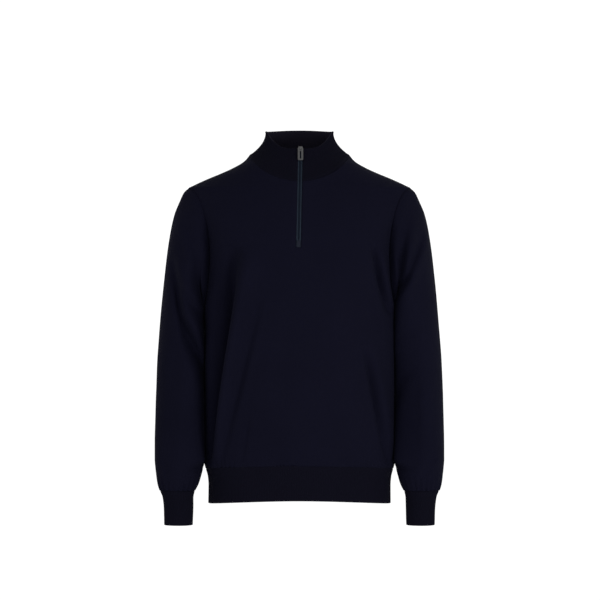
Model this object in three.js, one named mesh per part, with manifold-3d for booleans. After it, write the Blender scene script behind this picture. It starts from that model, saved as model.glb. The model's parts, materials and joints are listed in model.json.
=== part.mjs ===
// A fine-knit quarter-zip sweater, filled out as it is when worn, with nobody inside it.
// Millimetres. +X is the wearer's left, -Y the front and +Z up. The origin is the middle of the
// neck, level with the two points where the collar meets the shoulder seams, where it is held up.
import * as THREE from "three";
import { mergeVertices } from "three/addons/utils/BufferGeometryUtils.js";
import Module from "manifold-3d";

const wasm = await Module();
wasm.setup();

// Driving sizes
const knitThickness = 2;
const ribThickness = 2.2;
const collarThickness = 3;
const ribHeight = 0.8;
const seamEase = 0.2; // each piece stops this far short of its seam line
const shoulderZ = -63; // shoulder point, at the top of the armhole
const underarmZ = -300;
const neckFrontZ = -51; // collar seam at the centre front
const neckBackZ = 4;
const hemSeamFrontZ = -603;
const hemSeamSideZ = -612;
const hemFrontZ = -671; // lower edge of the hem band
const hemSideZ = -681;
const collarFrontZ = 13.5; // top edge of the collar
const collarSideZ = 50.5;
const collarBackZ = 55.5;
const neckRound = 0.13; // the front of the neckline is a soft V, and more is rounder
const neckEaseZ = -160; // the rows of the front's grid follow the V from this height up
const zipBottomZ = -180.5; // lower end of the slit in the front
const slitHalfWidth = 4.6;
const zipLean = 4; // the zip drifts this far to the wearer's right over its length
const hemRibs = 144;
const cuffRibs = 30;
const collarRibs = 76;
const sleeveGathers = 20; // where each sleeve is drawn into its cuff

// Horizontal sections of the body. Below the shoulder point the half width is that of the body as
// if the armholes were filled in. Squareness 2 is an ellipse, and more is boxier.
const bodySections = [
  { z: -690, halfWidth: 177.5, front: 112, back: 100, square: 2.4 },
  { z: -645, halfWidth: 177, front: 113, back: 101, square: 2.4 },
  { z: -628, halfWidth: 178.5, front: 114, back: 102, square: 2.4 },
  { z: -612, halfWidth: 183, front: 117, back: 104, square: 2.42 },
  { z: -598, halfWidth: 186, front: 121, back: 108, square: 2.45 },
  { z: -560, halfWidth: 186.5, front: 124, back: 110, square: 2.45 },
  { z: -450, halfWidth: 186, front: 127, back: 104, square: 2.45 },
  { z: -340, halfWidth: 186.5, front: 132, back: 111, square: 2.4 },
  { z: -300, halfWidth: 188, front: 135, back: 117, square: 2.4 },
  { z: -270, halfWidth: 191, front: 136, back: 121, square: 2.4 },
  { z: -220, halfWidth: 197, front: 135, back: 126, square: 2.38 },
  { z: -160, halfWidth: 205, front: 128, back: 128, square: 2.23 },
  { z: -110, halfWidth: 213, front: 116, back: 124, square: 1.98 },
  { z: -80, halfWidth: 217, front: 106, back: 118, square: 1.77 },
  { z: -63, halfWidth: 218.5, front: 101, back: 113, square: 1.61 },
  { z: -57, halfWidth: 208, front: 99, back: 110, square: 1.6 },
  { z: -45, halfWidth: 182, front: 95, back: 104, square: 1.64 },
  { z: -33, halfWidth: 153, front: 91, back: 97, square: 1.76 },
  { z: -22, halfWidth: 129, front: 87, back: 89, square: 1.89 },
  { z: -10, halfWidth: 109, front: 82, back: 79, square: 2 },
  { z: 0, halfWidth: 100, front: 78, back: 71, square: 2 },
  { z: 10, halfWidth: 96, front: 75, back: 66, square: 2 },
];

// The armhole, as an oval round the side of the body. Turns are in degrees from the side seam.
const armhole = { frontTurn: 33.5, backTurn: 26, skew: 1.1, fullness: 0.75 };

// How far the armhole seam is pulled in, by its height above the underarm as a share.
const armholeCrease = [
  { share: 0, front: 0, back: 0 },
  { share: 0.12, front: 14, back: 6 },
  { share: 0.35, front: 20, back: 11 },
  { share: 0.6, front: 15, back: 9 },
  { share: 0.8, front: 5, back: 3 },
  { share: 1, front: 0, back: 0 },
];
const bodyCreaseWidth = 12;
const sleeveCreaseWidth = 19;

// Sections across the wearer's left sleeve, from its inner line to its outer one, as the arm hangs.
// The first is the armhole and the last is the cuff seam.
const sleeveSections = [
  { xIn: 188, zIn: -300, xOut: 218.5, zOut: -63, yMid: 2, halfDepth: 72 },
  { xIn: 191.6, zIn: -301.6, xOut: 226, zOut: -69.5, yMid: 2, halfDepth: 72 },
  { xIn: 193.6, zIn: -304.6, xOut: 236, zOut: -90, yMid: 3, halfDepth: 72 },
  { xIn: 194.4, zIn: -309, xOut: 245.5, zOut: -113, yMid: 4, halfDepth: 71 },
  { xIn: 194.5, zIn: -315, xOut: 253, zOut: -145, yMid: 5, halfDepth: 70 },
  { xIn: 194.3, zIn: -323, xOut: 259.5, zOut: -187, yMid: 6, halfDepth: 68 },
  { xIn: 193.8, zIn: -333, xOut: 264.5, zOut: -230, yMid: 7, halfDepth: 66 },
  { xIn: 193, zIn: -346, xOut: 269, zOut: -272, yMid: 8, halfDepth: 64 },
  { xIn: 192.3, zIn: -364, xOut: 273, zOut: -314, yMid: 9, halfDepth: 62 },
  { xIn: 191.6, zIn: -388, xOut: 276.5, zOut: -358, yMid: 9, halfDepth: 60 },
  { xIn: 191, zIn: -417, xOut: 279.5, zOut: -402, yMid: 7, halfDepth: 57 },
  { xIn: 190.4, zIn: -449, xOut: 281, zOut: -444, yMid: 3, halfDepth: 54 },
  { xIn: 190, zIn: -484, xOut: 282, zOut: -484, yMid: -4, halfDepth: 51 },
  { xIn: 189.6, zIn: -524, xOut: 282.5, zOut: -524, yMid: -12, halfDepth: 48 },
  { xIn: 189.3, zIn: -562, xOut: 283, zOut: -562, yMid: -20, halfDepth: 45 },
  { xIn: 189.3, zIn: -592, xOut: 283, zOut: -592, yMid: -26, halfDepth: 43 },
  { xIn: 190.5, zIn: -612, xOut: 281.5, zOut: -611, yMid: -30, halfDepth: 41 },
  { xIn: 194.5, zIn: -628, xOut: 279, zOut: -627.5, yMid: -33, halfDepth: 38.5 },
  { xIn: 199.5, zIn: -642, xOut: 276, zOut: -642, yMid: -35.5, halfDepth: 35 },
  { xIn: 206, zIn: -654, xOut: 272, zOut: -654, yMid: -38, halfDepth: 31 },
];
const cuffSections = [
  { xIn: 206.4, zIn: -654, xOut: 271.6, zOut: -654, yMid: -38, halfDepth: 30.5 },
  { xIn: 209.8, zIn: -668, xOut: 267.6, zOut: -668, yMid: -41, halfDepth: 28 },
  { xIn: 211.4, zIn: -690, xOut: 265.6, zOut: -690, yMid: -45.5, halfDepth: 27 },
  { xIn: 212.6, zIn: -723, xOut: 265, zOut: -723, yMid: -52, halfDepth: 26.5 },
];
const armholeReach = 75; // the sleeve keeps something of the armhole's own shape this far down

// The sleeve's inner side lies along the body's side. Clearance is between the middles of their
// walls, and tuck is how far the sleeve comes in front of and behind the body's widest line. Turns
// are from the sleeve's inner line, where this is full and where it ends, and distances are along it.
const armRest = {
  clearance: 2.9, tuck: 0.5, fullTurn: 42, endTurn: 85, startDown: 3, fullDown: 25, leaveUp: 62, endUp: 44,
};
const gatherReach = 45; // gathers die out this far up the sleeve
const gatherDepth = 1.6;
const hemGatherReach = 34;
const hemGatherDepth = 1.1;

// Folds, as seen from the front, or from the front through the cloth on the back. Each follows a
// bend through three points. It falls away over width on one side and over steep on the other,
// which is the side with larger x where the fold runs down, and a low lip stands beside it there.
// Both are narrower at its end, by the share taper.
const frontFolds = [
  { x1: -150, z1: -170, x2: -163, z2: -330, x3: -184, z3: -606, depth: 13, width: 18, steep: 30, taper: 0.7 },
  { x1: -78, z1: -290, x2: -116, z2: -448, x3: -158, z3: -606, depth: 6, width: 10, steep: 7 },
  { x1: -98, z1: -505, x2: -104, z2: -550, x3: -113, z3: -606, depth: 3, width: 8, steep: 5 },
  { x1: 108, z1: -360, x2: 147, z2: -483, x3: 166, z3: -606, depth: 8, width: 8, steep: 15 },
  { x1: 146, z1: -180, x2: 154, z2: -240, x3: 176, z3: -312, depth: 5, width: 13, steep: 9 },
  { x1: 40, z1: -400, x2: 62, z2: -490, x3: 66, z3: -600, depth: 2.2, width: 22, steep: 16 },
];
const backFolds = [
  { x1: -160, z1: -200, x2: -122, z2: -330, x3: -84, z3: -470, depth: 8, width: 18, steep: 11 },
  { x1: 158, z1: -215, x2: 128, z2: -350, x3: 98, z3: -500, depth: 7, width: 16, steep: 10 },
  { x1: -105, z1: -455, x2: 0, z2: -486, x3: 92, z3: -452, depth: 5, width: 14, steep: 10 },
  { x1: -70, z1: -520, x2: 30, z2: -548, x3: 128, z3: -520, depth: 4, width: 12, steep: 9 },
  { x1: -150, z1: -500, x2: -158, z2: -555, x3: -162, z3: -606, depth: 4, width: 10, steep: 8 },
];
// On a sleeve, x is the distance from the garment's middle on either side, and face 1 is the front.
const leftSleeveFolds = [
  { x1: 215, z1: -112, x2: 197, z2: -190, x3: 186, z3: -270, face: 1, depth: 5, width: 8, steep: 8 },
  { x1: 240, z1: -150, x2: 212, z2: -228, x3: 188, z3: -292, face: 1, depth: 6.5, width: 9, steep: 9 },
  { x1: 220, z1: -415, x2: 212, z2: -450, x3: 204, z3: -500, face: 1, depth: 3, width: 9, steep: 7 },
  { x1: 204, z1: -420, x2: 201, z2: -520, x3: 208, z3: -606, face: 1, depth: 5, width: 13, steep: 11 },
  { x1: 264, z1: -582, x2: 254, z2: -606, x3: 243, z3: -632, face: 1, depth: 2.5, width: 7, steep: 6 },
  { x1: 250, z1: -330, x2: 226, z2: -372, x3: 200, z3: -392, face: -1, depth: 5, width: 11, steep: 9 },
  { x1: 262, z1: -400, x2: 238, z2: -424, x3: 208, z3: -430, face: -1, depth: 4, width: 10, steep: 9 },
];
const rightSleeveFolds = [
  { x1: 205, z1: -450, x2: 240, z2: -320, x3: 256, z3: -190, face: 1, depth: 8, width: 12, steep: 9 },
  { x1: 224, z1: -118, x2: 208, z2: -178, x3: 186, z3: -226, face: 1, depth: 5, width: 9, steep: 8 },
  { x1: 204, z1: -335, x2: 220, z2: -288, x3: 234, z3: -235, face: 1, depth: 4, width: 8, steep: 6 },
  { x1: 268, z1: -570, x2: 262, z2: -600, x3: 256, z3: -636, face: 1, depth: 2, width: 7, steep: 6 },
  { x1: 254, z1: -345, x2: 228, z2: -386, x3: 200, z3: -404, face: -1, depth: 5, width: 11, steep: 9 },
  { x1: 258, z1: -415, x2: 232, z2: -440, x3: 204, z3: -446, face: -1, depth: 3.5, width: 10, steep: 9 },
];
const foldLip = 0.35; // height of the lip beside a fold, as a share of its depth

const navyKnit = new THREE.MeshStandardMaterial({ color: 0x14141f, roughness: 0.95, metalness: 0 });
const navyRib = new THREE.MeshStandardMaterial({ color: 0x111119, roughness: 0.95, metalness: 0 });
const navyTape = new THREE.MeshStandardMaterial({ color: 0x1c222e, roughness: 0.8, metalness: 0 });
const darkMetal = new THREE.MeshStandardMaterial({ color: 0x8c8c8a, roughness: 0.35, metalness: 1 });

const radians = THREE.MathUtils.degToRad;
const { lerp, smoothstep } = THREE.MathUtils;

// A smooth function through one column of a table, which never overshoots its rows.
function smoothColumn(table, along, column) {
  const rows = [...table].sort((p, q) => p[along] - q[along]);
  const xs = rows.map((row) => row[along]);
  const ys = rows.map((row) => row[column]);
  const rises = xs.slice(1).map((x, i) => (ys[i + 1] - ys[i]) / (x - xs[i]));
  const slopes = xs.map((_, i) => {
    const before = rises[Math.max(i - 1, 0)];
    const after = rises[Math.min(i, rises.length - 1)];
    return before * after <= 0 ? 0 : (2 * before * after) / (before + after);
  });
  return (x) => {
    const at = Math.min(Math.max(x, xs[0]), xs[xs.length - 1]);
    const i = Math.min(xs.findLastIndex((known) => known <= at), xs.length - 2);
    const gap = xs[i + 1] - xs[i];
    const t = (at - xs[i]) / gap;
    const flat = t * t * (3 - 2 * t);
    const bend = gap * t * (1 - t) * ((1 - t) * slopes[i] - t * slopes[i + 1]);
    return lerp(ys[i], ys[i + 1], flat) + bend;
  };
}

const halfWidthAt = smoothColumn(bodySections, "z", "halfWidth");
const frontDepthAt = smoothColumn(bodySections, "z", "front");
const backDepthAt = smoothColumn(bodySections, "z", "back");
const squareAt = smoothColumn(bodySections, "z", "square");
const frontCreaseAt = smoothColumn(armholeCrease, "share", "front");
const backCreaseAt = smoothColumn(armholeCrease, "share", "back");

// A point on the plain body. Theta is in degrees: 0 front, 90 the wearer's left, 180 back.
function ringPoint(theta, z) {
  const s = Math.sin(radians(theta));
  const c = Math.cos(radians(theta));
  const n = squareAt(z);
  const reach = (Math.abs(s) ** n + Math.abs(c) ** n) ** (-1 / n);
  const depth = c > 0 ? frontDepthAt(z) : backDepthAt(z);
  return new THREE.Vector3(halfWidthAt(z) * s * reach, -depth * c * reach, z);
}

// How far a set of folds sinks the cloth at a place seen from the front.
function foldDrop(folds, x, z) {
  const pieces = 14;
  let drop = 0;
  for (const { x1, z1, x2, z2, x3, z3, depth, width, steep, taper = 0 } of folds) {
    let best = { far: Infinity };
    for (let i = 0; i <= pieces; i++) {
      const t = i / pieces;
      const px = lerp(lerp(x1, x2, t), lerp(x2, x3, t), t);
      const pz = lerp(lerp(z1, z2, t), lerp(z2, z3, t), t);
      const far = Math.hypot(x - px, z - pz);
      if (far < best.far) best = { far, t, px, pz };
    }
    const runX = lerp(x2 - x1, x3 - x2, best.t);
    const runZ = lerp(z2 - z1, z3 - z2, best.t);
    const run = Math.hypot(runX, runZ);
    const past = ((x - best.px) * runX + (z - best.pz) * runZ) / run;
    const beside = ((z - best.pz) * runX - (x - best.px) * runZ) / run;
    const t = Math.min(Math.max(best.t + past / (2 * run), 0), 1);
    const strength = depth * Math.sin(Math.PI * t) ** 0.7;
    const narrow = 1 - taper * t;
    const wall = steep * narrow;
    drop += strength * Math.exp(-((beside / (beside > 0 ? wall : width * narrow)) ** 2));
    drop -= foldLip * strength * Math.exp(-(((beside - 2 * wall) / (1.1 * wall)) ** 2));
  }
  return drop;
}

// The armhole seam of the wearer's left side. Alpha 0 is the shoulder point, 90 the front,
// 180 the underarm and 270 the back. Ease makes the hole larger all round, in millimetres.
function armholeAt(alpha, ease = 0) {
  const s = Math.sin(radians(alpha));
  const halfHeight = (shoulderZ - underarmZ) / 2;
  const share = ((1 + Math.cos(radians(alpha))) / 2) ** (1 / armhole.skew);
  const easedShare = 0.5 + (share - 0.5) * (1 + ease / halfHeight);
  const easeTurn = ease / 2.4;
  const turn = s > 0 ? -(armhole.frontTurn + easeTurn) : armhole.backTurn + easeTurn;
  const theta = 90 + turn * Math.abs(s) ** armhole.fullness;
  return { share, theta, z: underarmZ + 2 * halfHeight * easedShare };
}

// The seam's angle from the front or from the back, at a height.
function armholeTurnAt(z, isFront) {
  const share = (z - underarmZ) / (shoulderZ - underarmZ);
  if (share <= 0 || share >= 1) return 90;
  const level = 2 * share ** armhole.skew - 1;
  const turn = isFront ? armhole.frontTurn : armhole.backTurn;
  return 90 - turn * (1 - level * level) ** (armhole.fullness / 2);
}

// The seam in space, with how far it is pulled in towards the middle of the body.
function armholePoint(alpha) {
  const { share, theta, z } = armholeAt(alpha);
  const pull = theta < 90 ? frontCreaseAt(share) : -backCreaseAt(share);
  return { plain: ringPoint(theta, z), pull };
}

// A point on the draped body, with its folds, the creases at its armholes and the gathers at its hem.
function bodyPoint(theta, z) {
  const point = ringPoint(theta, z);
  const isFront = Math.abs(theta) < 90;
  const turn = isFront ? Math.abs(theta) : 180 - Math.abs(theta);
  const share = (z - underarmZ) / (shoulderZ - underarmZ);
  const fromSeam = Math.max(armholeTurnAt(z, isFront) - turn, 0) * 2.4;
  const pull = isFront ? frontCreaseAt(share) : -backCreaseAt(share);
  const facing = smoothstep(Math.cos(radians(turn)), 0.15, 0.5);
  const clear = 1 - Math.exp(-((fromSeam / 9) ** 2));
  const drop = foldDrop(isFront ? frontFolds : backFolds, point.x, z) * facing * clear;
  const flatWay = new THREE.Vector3(point.x * 0.35, point.y, 0).normalize();
  point.addScaledVector(flatWay, -drop);
  point.y += pull * Math.exp(-((fromSeam / bodyCreaseWidth) ** 1.5));
  return point;
}

const sleeveColumns = ["xIn", "zIn", "xOut", "zOut", "yMid", "halfDepth"];

// Sections with their distance down the arm, as smooth functions of it.
function sleeveShape(sections) {
  let down = 0;
  const rows = sections.map((row, i) => {
    const last = sections[Math.max(i - 1, 0)];
    const stepX = (row.xIn + row.xOut - last.xIn - last.xOut) / 2;
    const stepZ = (row.zIn + row.zOut - last.zIn - last.zOut) / 2;
    down += Math.hypot(stepX, stepZ, row.yMid - last.yMid);
    return { ...row, down };
  });
  const at = Object.fromEntries(sleeveColumns.map((name) => [name, smoothColumn(rows, "down", name)]));
  return { at, stops: rows.map((row) => row.down), length: down };
}

const sleeve = sleeveShape(sleeveSections);
const cuff = sleeveShape(cuffSections);

function sectionPoint({ at }, alpha, down) {
  const share = (1 + Math.cos(radians(alpha))) / 2;
  return new THREE.Vector3(
    lerp(at.xIn(down), at.xOut(down), share),
    at.yMid(down) - at.halfDepth(down) * Math.sin(radians(alpha)),
    lerp(at.zIn(down), at.zOut(down), share),
  );
}

// The distance from the garment's middle at which a sleeve rests against the body's side.
function restX(y, z) {
  const n = squareAt(z);
  const depth = y < 0 ? frontDepthAt(z) : backDepthAt(z);
  const inside = Math.max(1 - (Math.abs(y) / depth) ** n, 0);
  const bodyX = halfWidthAt(z) * inside ** (1 / n);
  return Math.max(bodyX + armRest.clearance, halfWidthAt(z) - armRest.tuck);
}

// A point on the wearer's left sleeve, draped with one side's folds. Alpha is as on the armhole.
function sleevePoint(folds, alpha, down) {
  const point = sectionPoint(sleeve, alpha, down);
  const seam = armholePoint(alpha);
  const start = sectionPoint(sleeve, alpha, 0);
  const kept = 1 - smoothstep(down, 0, armholeReach);
  point.addScaledVector(seam.plain.clone().sub(start), kept);
  const s = Math.sin(radians(alpha));
  const onFace = folds.filter((fold) => fold.face * s > 0);
  const facing = smoothstep(Math.abs(s), 0.05, 0.5) * smoothstep(down, 6, 45);
  point.y += Math.sign(s) * foldDrop(onFace, point.x, point.z) * facing;
  const far = point.distanceTo(seam.plain);
  point.y += seam.pull * Math.exp(-((far / sleeveCreaseWidth) ** 1.5));
  const { fullTurn, endTurn, startDown, fullDown, leaveUp, endUp } = armRest;
  const inner = 1 - smoothstep(Math.abs(alpha - 180), fullTurn, endTurn);
  const left = 1 - smoothstep(down, sleeve.length - leaveUp, sleeve.length - endUp);
  const rests = inner * left * smoothstep(down, startDown, fullDown);
  point.x = lerp(point.x, restX(point.y, point.z), rests);
  return point;
}

// The outward direction of a surface, from small steps in its two parameters.
function normalOf(surface, u, v, stepU, stepV) {
  const alongU = surface(u + stepU, v).sub(surface(u - stepU, v));
  const alongV = surface(u, v + stepV).sub(surface(u, v - stepV));
  return alongU.cross(alongV).normalize();
}

const bodyNormal = (theta, z) => normalOf(bodyPoint, theta, z, 0.5, 1);
function sleeveNormal(folds, alpha, down) {
  const surface = (a, d) => sleevePoint(folds, a, Math.min(Math.max(d, 0), sleeve.length));
  return normalOf(surface, alpha, down, 1, 1);
}

// The common direction of the two walls that meet at the armhole.
function armholeNormal(folds, alpha) {
  const { theta, z } = armholeAt(alpha);
  return bodyNormal(theta, z).add(sleeveNormal(folds, alpha, 0)).normalize();
}

// Corners of a mesh by name, and its faces, which become one closed geometry that faces outwards.
function meshBuilder() {
  const positions = [];
  const faces = [];
  const add = (point) => positions.push(point.x, point.y, point.z) / 3 - 1;
  const triangle = (a, b, c) => faces.push(a, b, c);
  const quad = (a, b, c, d) => {
    triangle(a, b, c);
    triangle(a, c, d);
  };
  const geometry = () => {
    const corner = (i) => new THREE.Vector3().fromArray(positions, 3 * faces[i]);
    let volume = 0;
    for (let i = 0; i < faces.length; i += 3) {
      volume += corner(i).dot(corner(i + 1).cross(corner(i + 2)));
    }
    if (volume < 0) faces.reverse();
    const made = new THREE.BufferGeometry();
    made.setAttribute("position", new THREE.Float32BufferAttribute(positions, 3));
    made.setIndex(faces);
    return made;
  };
  return { add, triangle, quad, geometry };
}

// A wall of even thickness over a grid. skinAt(i, j) gives a corner's middle point, its outward
// direction and how far the outside is raised. Cells that isOpen names are left out.
function panelWall({ columns, rows, thickness, skinAt, isOpen = () => false }) {
  const mesh = meshBuilder();
  const outer = [];
  const inner = [];
  const isUsed = (i, j) => i >= 0 && j >= 0 && i < columns && j < rows && !isOpen(i, j);
  const touchesCell = (i, j) => [0, 1].some((di) => [0, 1].some((dj) => isUsed(i - di, j - dj)));
  for (let j = 0; j <= rows; j++) {
    outer.push([]);
    inner.push([]);
    for (let i = 0; i <= columns; i++) {
      if (!touchesCell(i, j)) continue;
      const { point, normal, raise = 0 } = skinAt(i, j);
      outer[j][i] = mesh.add(point.clone().addScaledVector(normal, thickness / 2 + raise));
      inner[j][i] = mesh.add(point.clone().addScaledVector(normal, -thickness / 2));
    }
  }
  const side = (j1, i1, j2, i2) => mesh.quad(outer[j1][i1], inner[j1][i1], inner[j2][i2], outer[j2][i2]);
  for (let j = 0; j < rows; j++) {
    for (let i = 0; i < columns; i++) {
      if (isOpen(i, j)) continue;
      mesh.quad(outer[j][i], outer[j][i + 1], outer[j + 1][i + 1], outer[j + 1][i]);
      mesh.quad(inner[j][i], inner[j + 1][i], inner[j + 1][i + 1], inner[j][i + 1]);
      if (!isUsed(i, j - 1)) side(j, i, j, i + 1);
      if (!isUsed(i + 1, j)) side(j, i + 1, j + 1, i + 1);
      if (!isUsed(i, j + 1)) side(j + 1, i + 1, j + 1, i);
      if (!isUsed(i - 1, j)) side(j + 1, i, j, i);
    }
  }
  return mesh.geometry();
}

// A tube or open band whose outside has several columns for each one of its plain inside.
// outerAt(i, j) and innerAt(i, j) give the corners, with i counted in outer columns for both.
function bandWall({ innerColumns, perInner, rows, closed, outerAt, innerAt }) {
  const mesh = meshBuilder();
  const outerColumns = innerColumns * perInner;
  const outer = [];
  const inner = [];
  for (let j = 0; j <= rows; j++) {
    const outerCount = outerColumns + (closed ? 0 : 1);
    outer.push(Array.from({ length: outerCount }, (_, i) => mesh.add(outerAt(i, j))));
    const innerCount = innerColumns + (closed ? 0 : 1);
    inner.push(Array.from({ length: innerCount }, (_, i) => mesh.add(innerAt(i * perInner, j))));
  }
  const out = (i, j) => outer[j][closed ? i % outerColumns : i];
  const inn = (i, j) => inner[j][closed ? i % innerColumns : i];
  for (let j = 0; j < rows; j++) {
    for (let i = 0; i < outerColumns; i++) {
      mesh.quad(out(i, j), out(i + 1, j), out(i + 1, j + 1), out(i, j + 1));
    }
    for (let i = 0; i < innerColumns; i++) {
      mesh.quad(inn(i, j), inn(i, j + 1), inn(i + 1, j + 1), inn(i + 1, j));
    }
    if (!closed) {
      const [outEnd, innEnd] = [outerColumns, innerColumns];
      mesh.quad(out(0, j), out(0, j + 1), inn(0, j + 1), inn(0, j));
      mesh.quad(out(outEnd, j), inn(innEnd, j), inn(innEnd, j + 1), out(outEnd, j + 1));
    }
  }
  const half = Math.ceil(perInner / 2);
  for (let i = 0; i < innerColumns; i++) {
    for (let k = 0; k < perInner; k++) {
      const nearest = k < half ? i : i + 1;
      const at = i * perInner + k;
      mesh.triangle(out(at, 0), inn(nearest, 0), out(at + 1, 0));
      mesh.triangle(out(at, rows), out(at + 1, rows), inn(nearest, rows));
    }
    mesh.triangle(out(i * perInner + half, 0), inn(i, 0), inn(i + 1, 0));
    mesh.triangle(out(i * perInner + half, rows), inn(i + 1, rows), inn(i, rows));
  }
  return mesh.geometry();
}

const group = new THREE.Group();
function addPiece(name, geometry, material, parent = group) {
  const piece = new THREE.Mesh(geometry, material);
  piece.name = name;
  parent.add(piece);
  return piece;
}

// Heights of the body's grid rows at its sides: up the side seam, round the armhole, up the shoulder.
const sideShares = [0, 0.05, 0.12, 0.24, 0.38, 0.53, 0.68, 0.81, 0.92];
const armholeRows = sleeveGathers / 2;
const shoulderRows = 3;
const bodyBottomZ = hemSeamSideZ + seamEase;
const bodyTopZ = -seamEase;
const bodyRows = [
  ...sideShares.map((share) => ({ z: lerp(bodyBottomZ, underarmZ - seamEase, share) })),
  ...Array.from({ length: armholeRows + 1 }, (_, i) => {
    const alpha = 180 - (180 * i) / armholeRows;
    return { alpha, z: armholeAt(alpha, seamEase).z };
  }),
  ...Array.from({ length: shoulderRows }, (_, i) => ({
    z: lerp(shoulderZ + seamEase, bodyTopZ, (i + 1) / shoulderRows),
  })),
];
const slitRow = sideShares.length + 6; // the slit in the front starts at this row
const sideEaseTurn = 0.11; // degrees, which is the seam ease at the side and shoulder seams
const zipX = (z) => lerp(-zipLean / 2, zipLean / 2, (z - zipBottomZ) / (collarFrontZ - zipBottomZ));

// How far up the front's neckline is, from its lowest point to the sides, as a share.
function neckShare(theta) {
  const aside = Math.hypot(Math.sin(radians(theta)), neckRound) - neckRound;
  return aside / (Math.hypot(1, neckRound) - neckRound);
}

// A corner of the front or back, with its turn from the middle and its height. The inner columns
// stay at the same turn in every row, and the outer ones are spread up to the panel's edge.
const steadyTurn = 50;
function panelPlace(row, middleZ, step, { steady, outer }, isFront) {
  const mirrored = row.alpha === undefined ? undefined : isFront ? row.alpha : 360 - row.alpha;
  const edge = mirrored === undefined ? 90 : armholeAt(mirrored, seamEase).theta;
  const edgeTurn = Math.min(isFront ? edge : 180 - edge, 90 - sideEaseTurn);
  const outerShare = Math.max(step - steady, 0) / outer;
  const turn = step <= steady ? (steadyTurn * step) / steady : lerp(steadyTurn, edgeTurn, outerShare);
  const evenTurn = (turn * 90) / edgeTurn;
  const level = Math.sin(radians(evenTurn)) ** 2;
  const nearNeck = isFront ? smoothstep(row.z, neckEaseZ, bodyTopZ) : 0;
  return { turn, z: lerp(middleZ, row.z, lerp(level, neckShare(evenTurn), nearNeck)) };
}

function hemWave(column, z) {
  const size = column % 2 ? hemGatherDepth : -hemGatherDepth;
  return size * (1 - smoothstep(z - hemSeamSideZ, 0, hemGatherReach));
}

function makeFront() {
  const counts = { steady: 12, outer: 6 };
  const perSide = counts.steady + counts.outer;
  const columns = 2 * perSide + 1;
  const slitZ = bodyRows[slitRow].z;
  const topZ = neckFrontZ - seamEase;
  const bottomZ = hemSeamFrontZ + seamEase;
  const middleZ = (z) =>
    z <= slitZ
      ? lerp(bottomZ, zipBottomZ, (z - bodyBottomZ) / (slitZ - bodyBottomZ))
      : lerp(zipBottomZ, topZ, (z - slitZ) / (bodyTopZ - slitZ));
  const skinAt = (i, j) => {
    const side = i <= perSide ? -1 : 1;
    const step = side < 0 ? perSide - i : i - perSide - 1;
    const row = bodyRows[j];
    const { turn, z } = panelPlace(row, middleZ(row.z), step, counts, true);
    const inwards = 1 - step / perSide;
    const slit = (side * slitHalfWidth * inwards + zipX(z) * inwards ** 2) / halfWidthAt(z);
    const theta = side * turn + THREE.MathUtils.radToDeg(slit);
    const folds = side > 0 ? leftSleeveFolds : rightSleeveFolds;
    const atArmhole = step === perSide && row.alpha !== undefined;
    const normal = atArmhole ? armholeNormal(folds, row.alpha) : bodyNormal(Math.abs(theta), z);
    if (atArmhole ? side < 0 : theta < 0) normal.x = -normal.x;
    return { point: draped(theta, z, step < perSide ? hemWave(i, z) : 0), normal };
  };
  const isOpen = (i, j) => i === perSide && j >= slitRow;
  return panelWall({ columns, rows: bodyRows.length - 1, thickness: knitThickness, skinAt, isOpen });
}

// A point of the body on either side of the middle, moved out by a gather's height.
function draped(theta, z, wave) {
  const point = bodyPoint(theta, z);
  point.y += Math.sign(point.y) * wave;
  return point;
}

function makeBack() {
  const counts = { steady: 8, outer: 4 };
  const perSide = counts.steady + counts.outer;
  const columns = 2 * perSide;
  const share = (z) => (z - bodyBottomZ) / (bodyTopZ - bodyBottomZ);
  const middleZ = (z) => lerp(hemSeamSideZ + seamEase, neckBackZ - seamEase, share(z));
  const skinAt = (i, j) => {
    const side = i > perSide ? 1 : -1;
    const step = Math.abs(i - perSide);
    const row = bodyRows[j];
    const { turn, z } = panelPlace(row, middleZ(row.z), step, counts, false);
    const folds = side > 0 ? leftSleeveFolds : rightSleeveFolds;
    const atArmhole = step === perSide && row.alpha !== undefined;
    const normal = atArmhole ? armholeNormal(folds, 360 - row.alpha) : bodyNormal(180 - turn, z);
    normal.x *= side;
    return { point: draped(side * (180 - turn), z, step < perSide ? hemWave(i, z) : 0), normal };
  };
  return panelWall({ columns, rows: bodyRows.length - 1, thickness: knitThickness, skinAt });
}

// One sleeve. Its outside has two columns for each one inside, and its first ring runs along the
// straight stretches of the body's armhole edge.
function makeSleeve(side, folds) {
  const innerColumns = sleeveGathers;
  const rows = sleeve.stops.length - 1;
  const alphaStep = 360 / innerColumns;
  const skinPoint = (alpha, down, wave) => {
    const point = sleevePoint(folds, alpha, down);
    const outwards = sleeveNormal(folds, alpha, down);
    const gather = gatherDepth * wave * smoothstep(down, sleeve.length - gatherReach, sleeve.length);
    return { point: point.addScaledVector(outwards, gather), outwards };
  };
  const corner = (alpha, j, offset, wave) => {
    const isSeam = j === 0;
    const down = isSeam ? 0.75 * seamEase : Math.min(sleeve.stops[j], sleeve.length - seamEase);
    const { point, outwards } = skinPoint(alpha, down, wave);
    point.addScaledVector(isSeam ? armholeNormal(folds, alpha) : outwards, offset);
    point.x *= side;
    return point;
  };
  const half = knitThickness / 2;
  const outerAt = (i, j) => {
    const alpha = (i * alphaStep) / 2;
    if (j > 0 || i % 2 === 0) return corner(alpha, j, half, i % 2 ? 1 : -1);
    const before = corner(alpha - alphaStep / 2, j, half, 0);
    return before.lerp(corner(alpha + alphaStep / 2, j, half, 0), 0.5);
  };
  const innerAt = (i, j) => corner((i * alphaStep) / 2, j, -half, 0);
  return bandWall({ innerColumns, perInner: 2, rows, closed: true, outerAt, innerAt });
}

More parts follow.
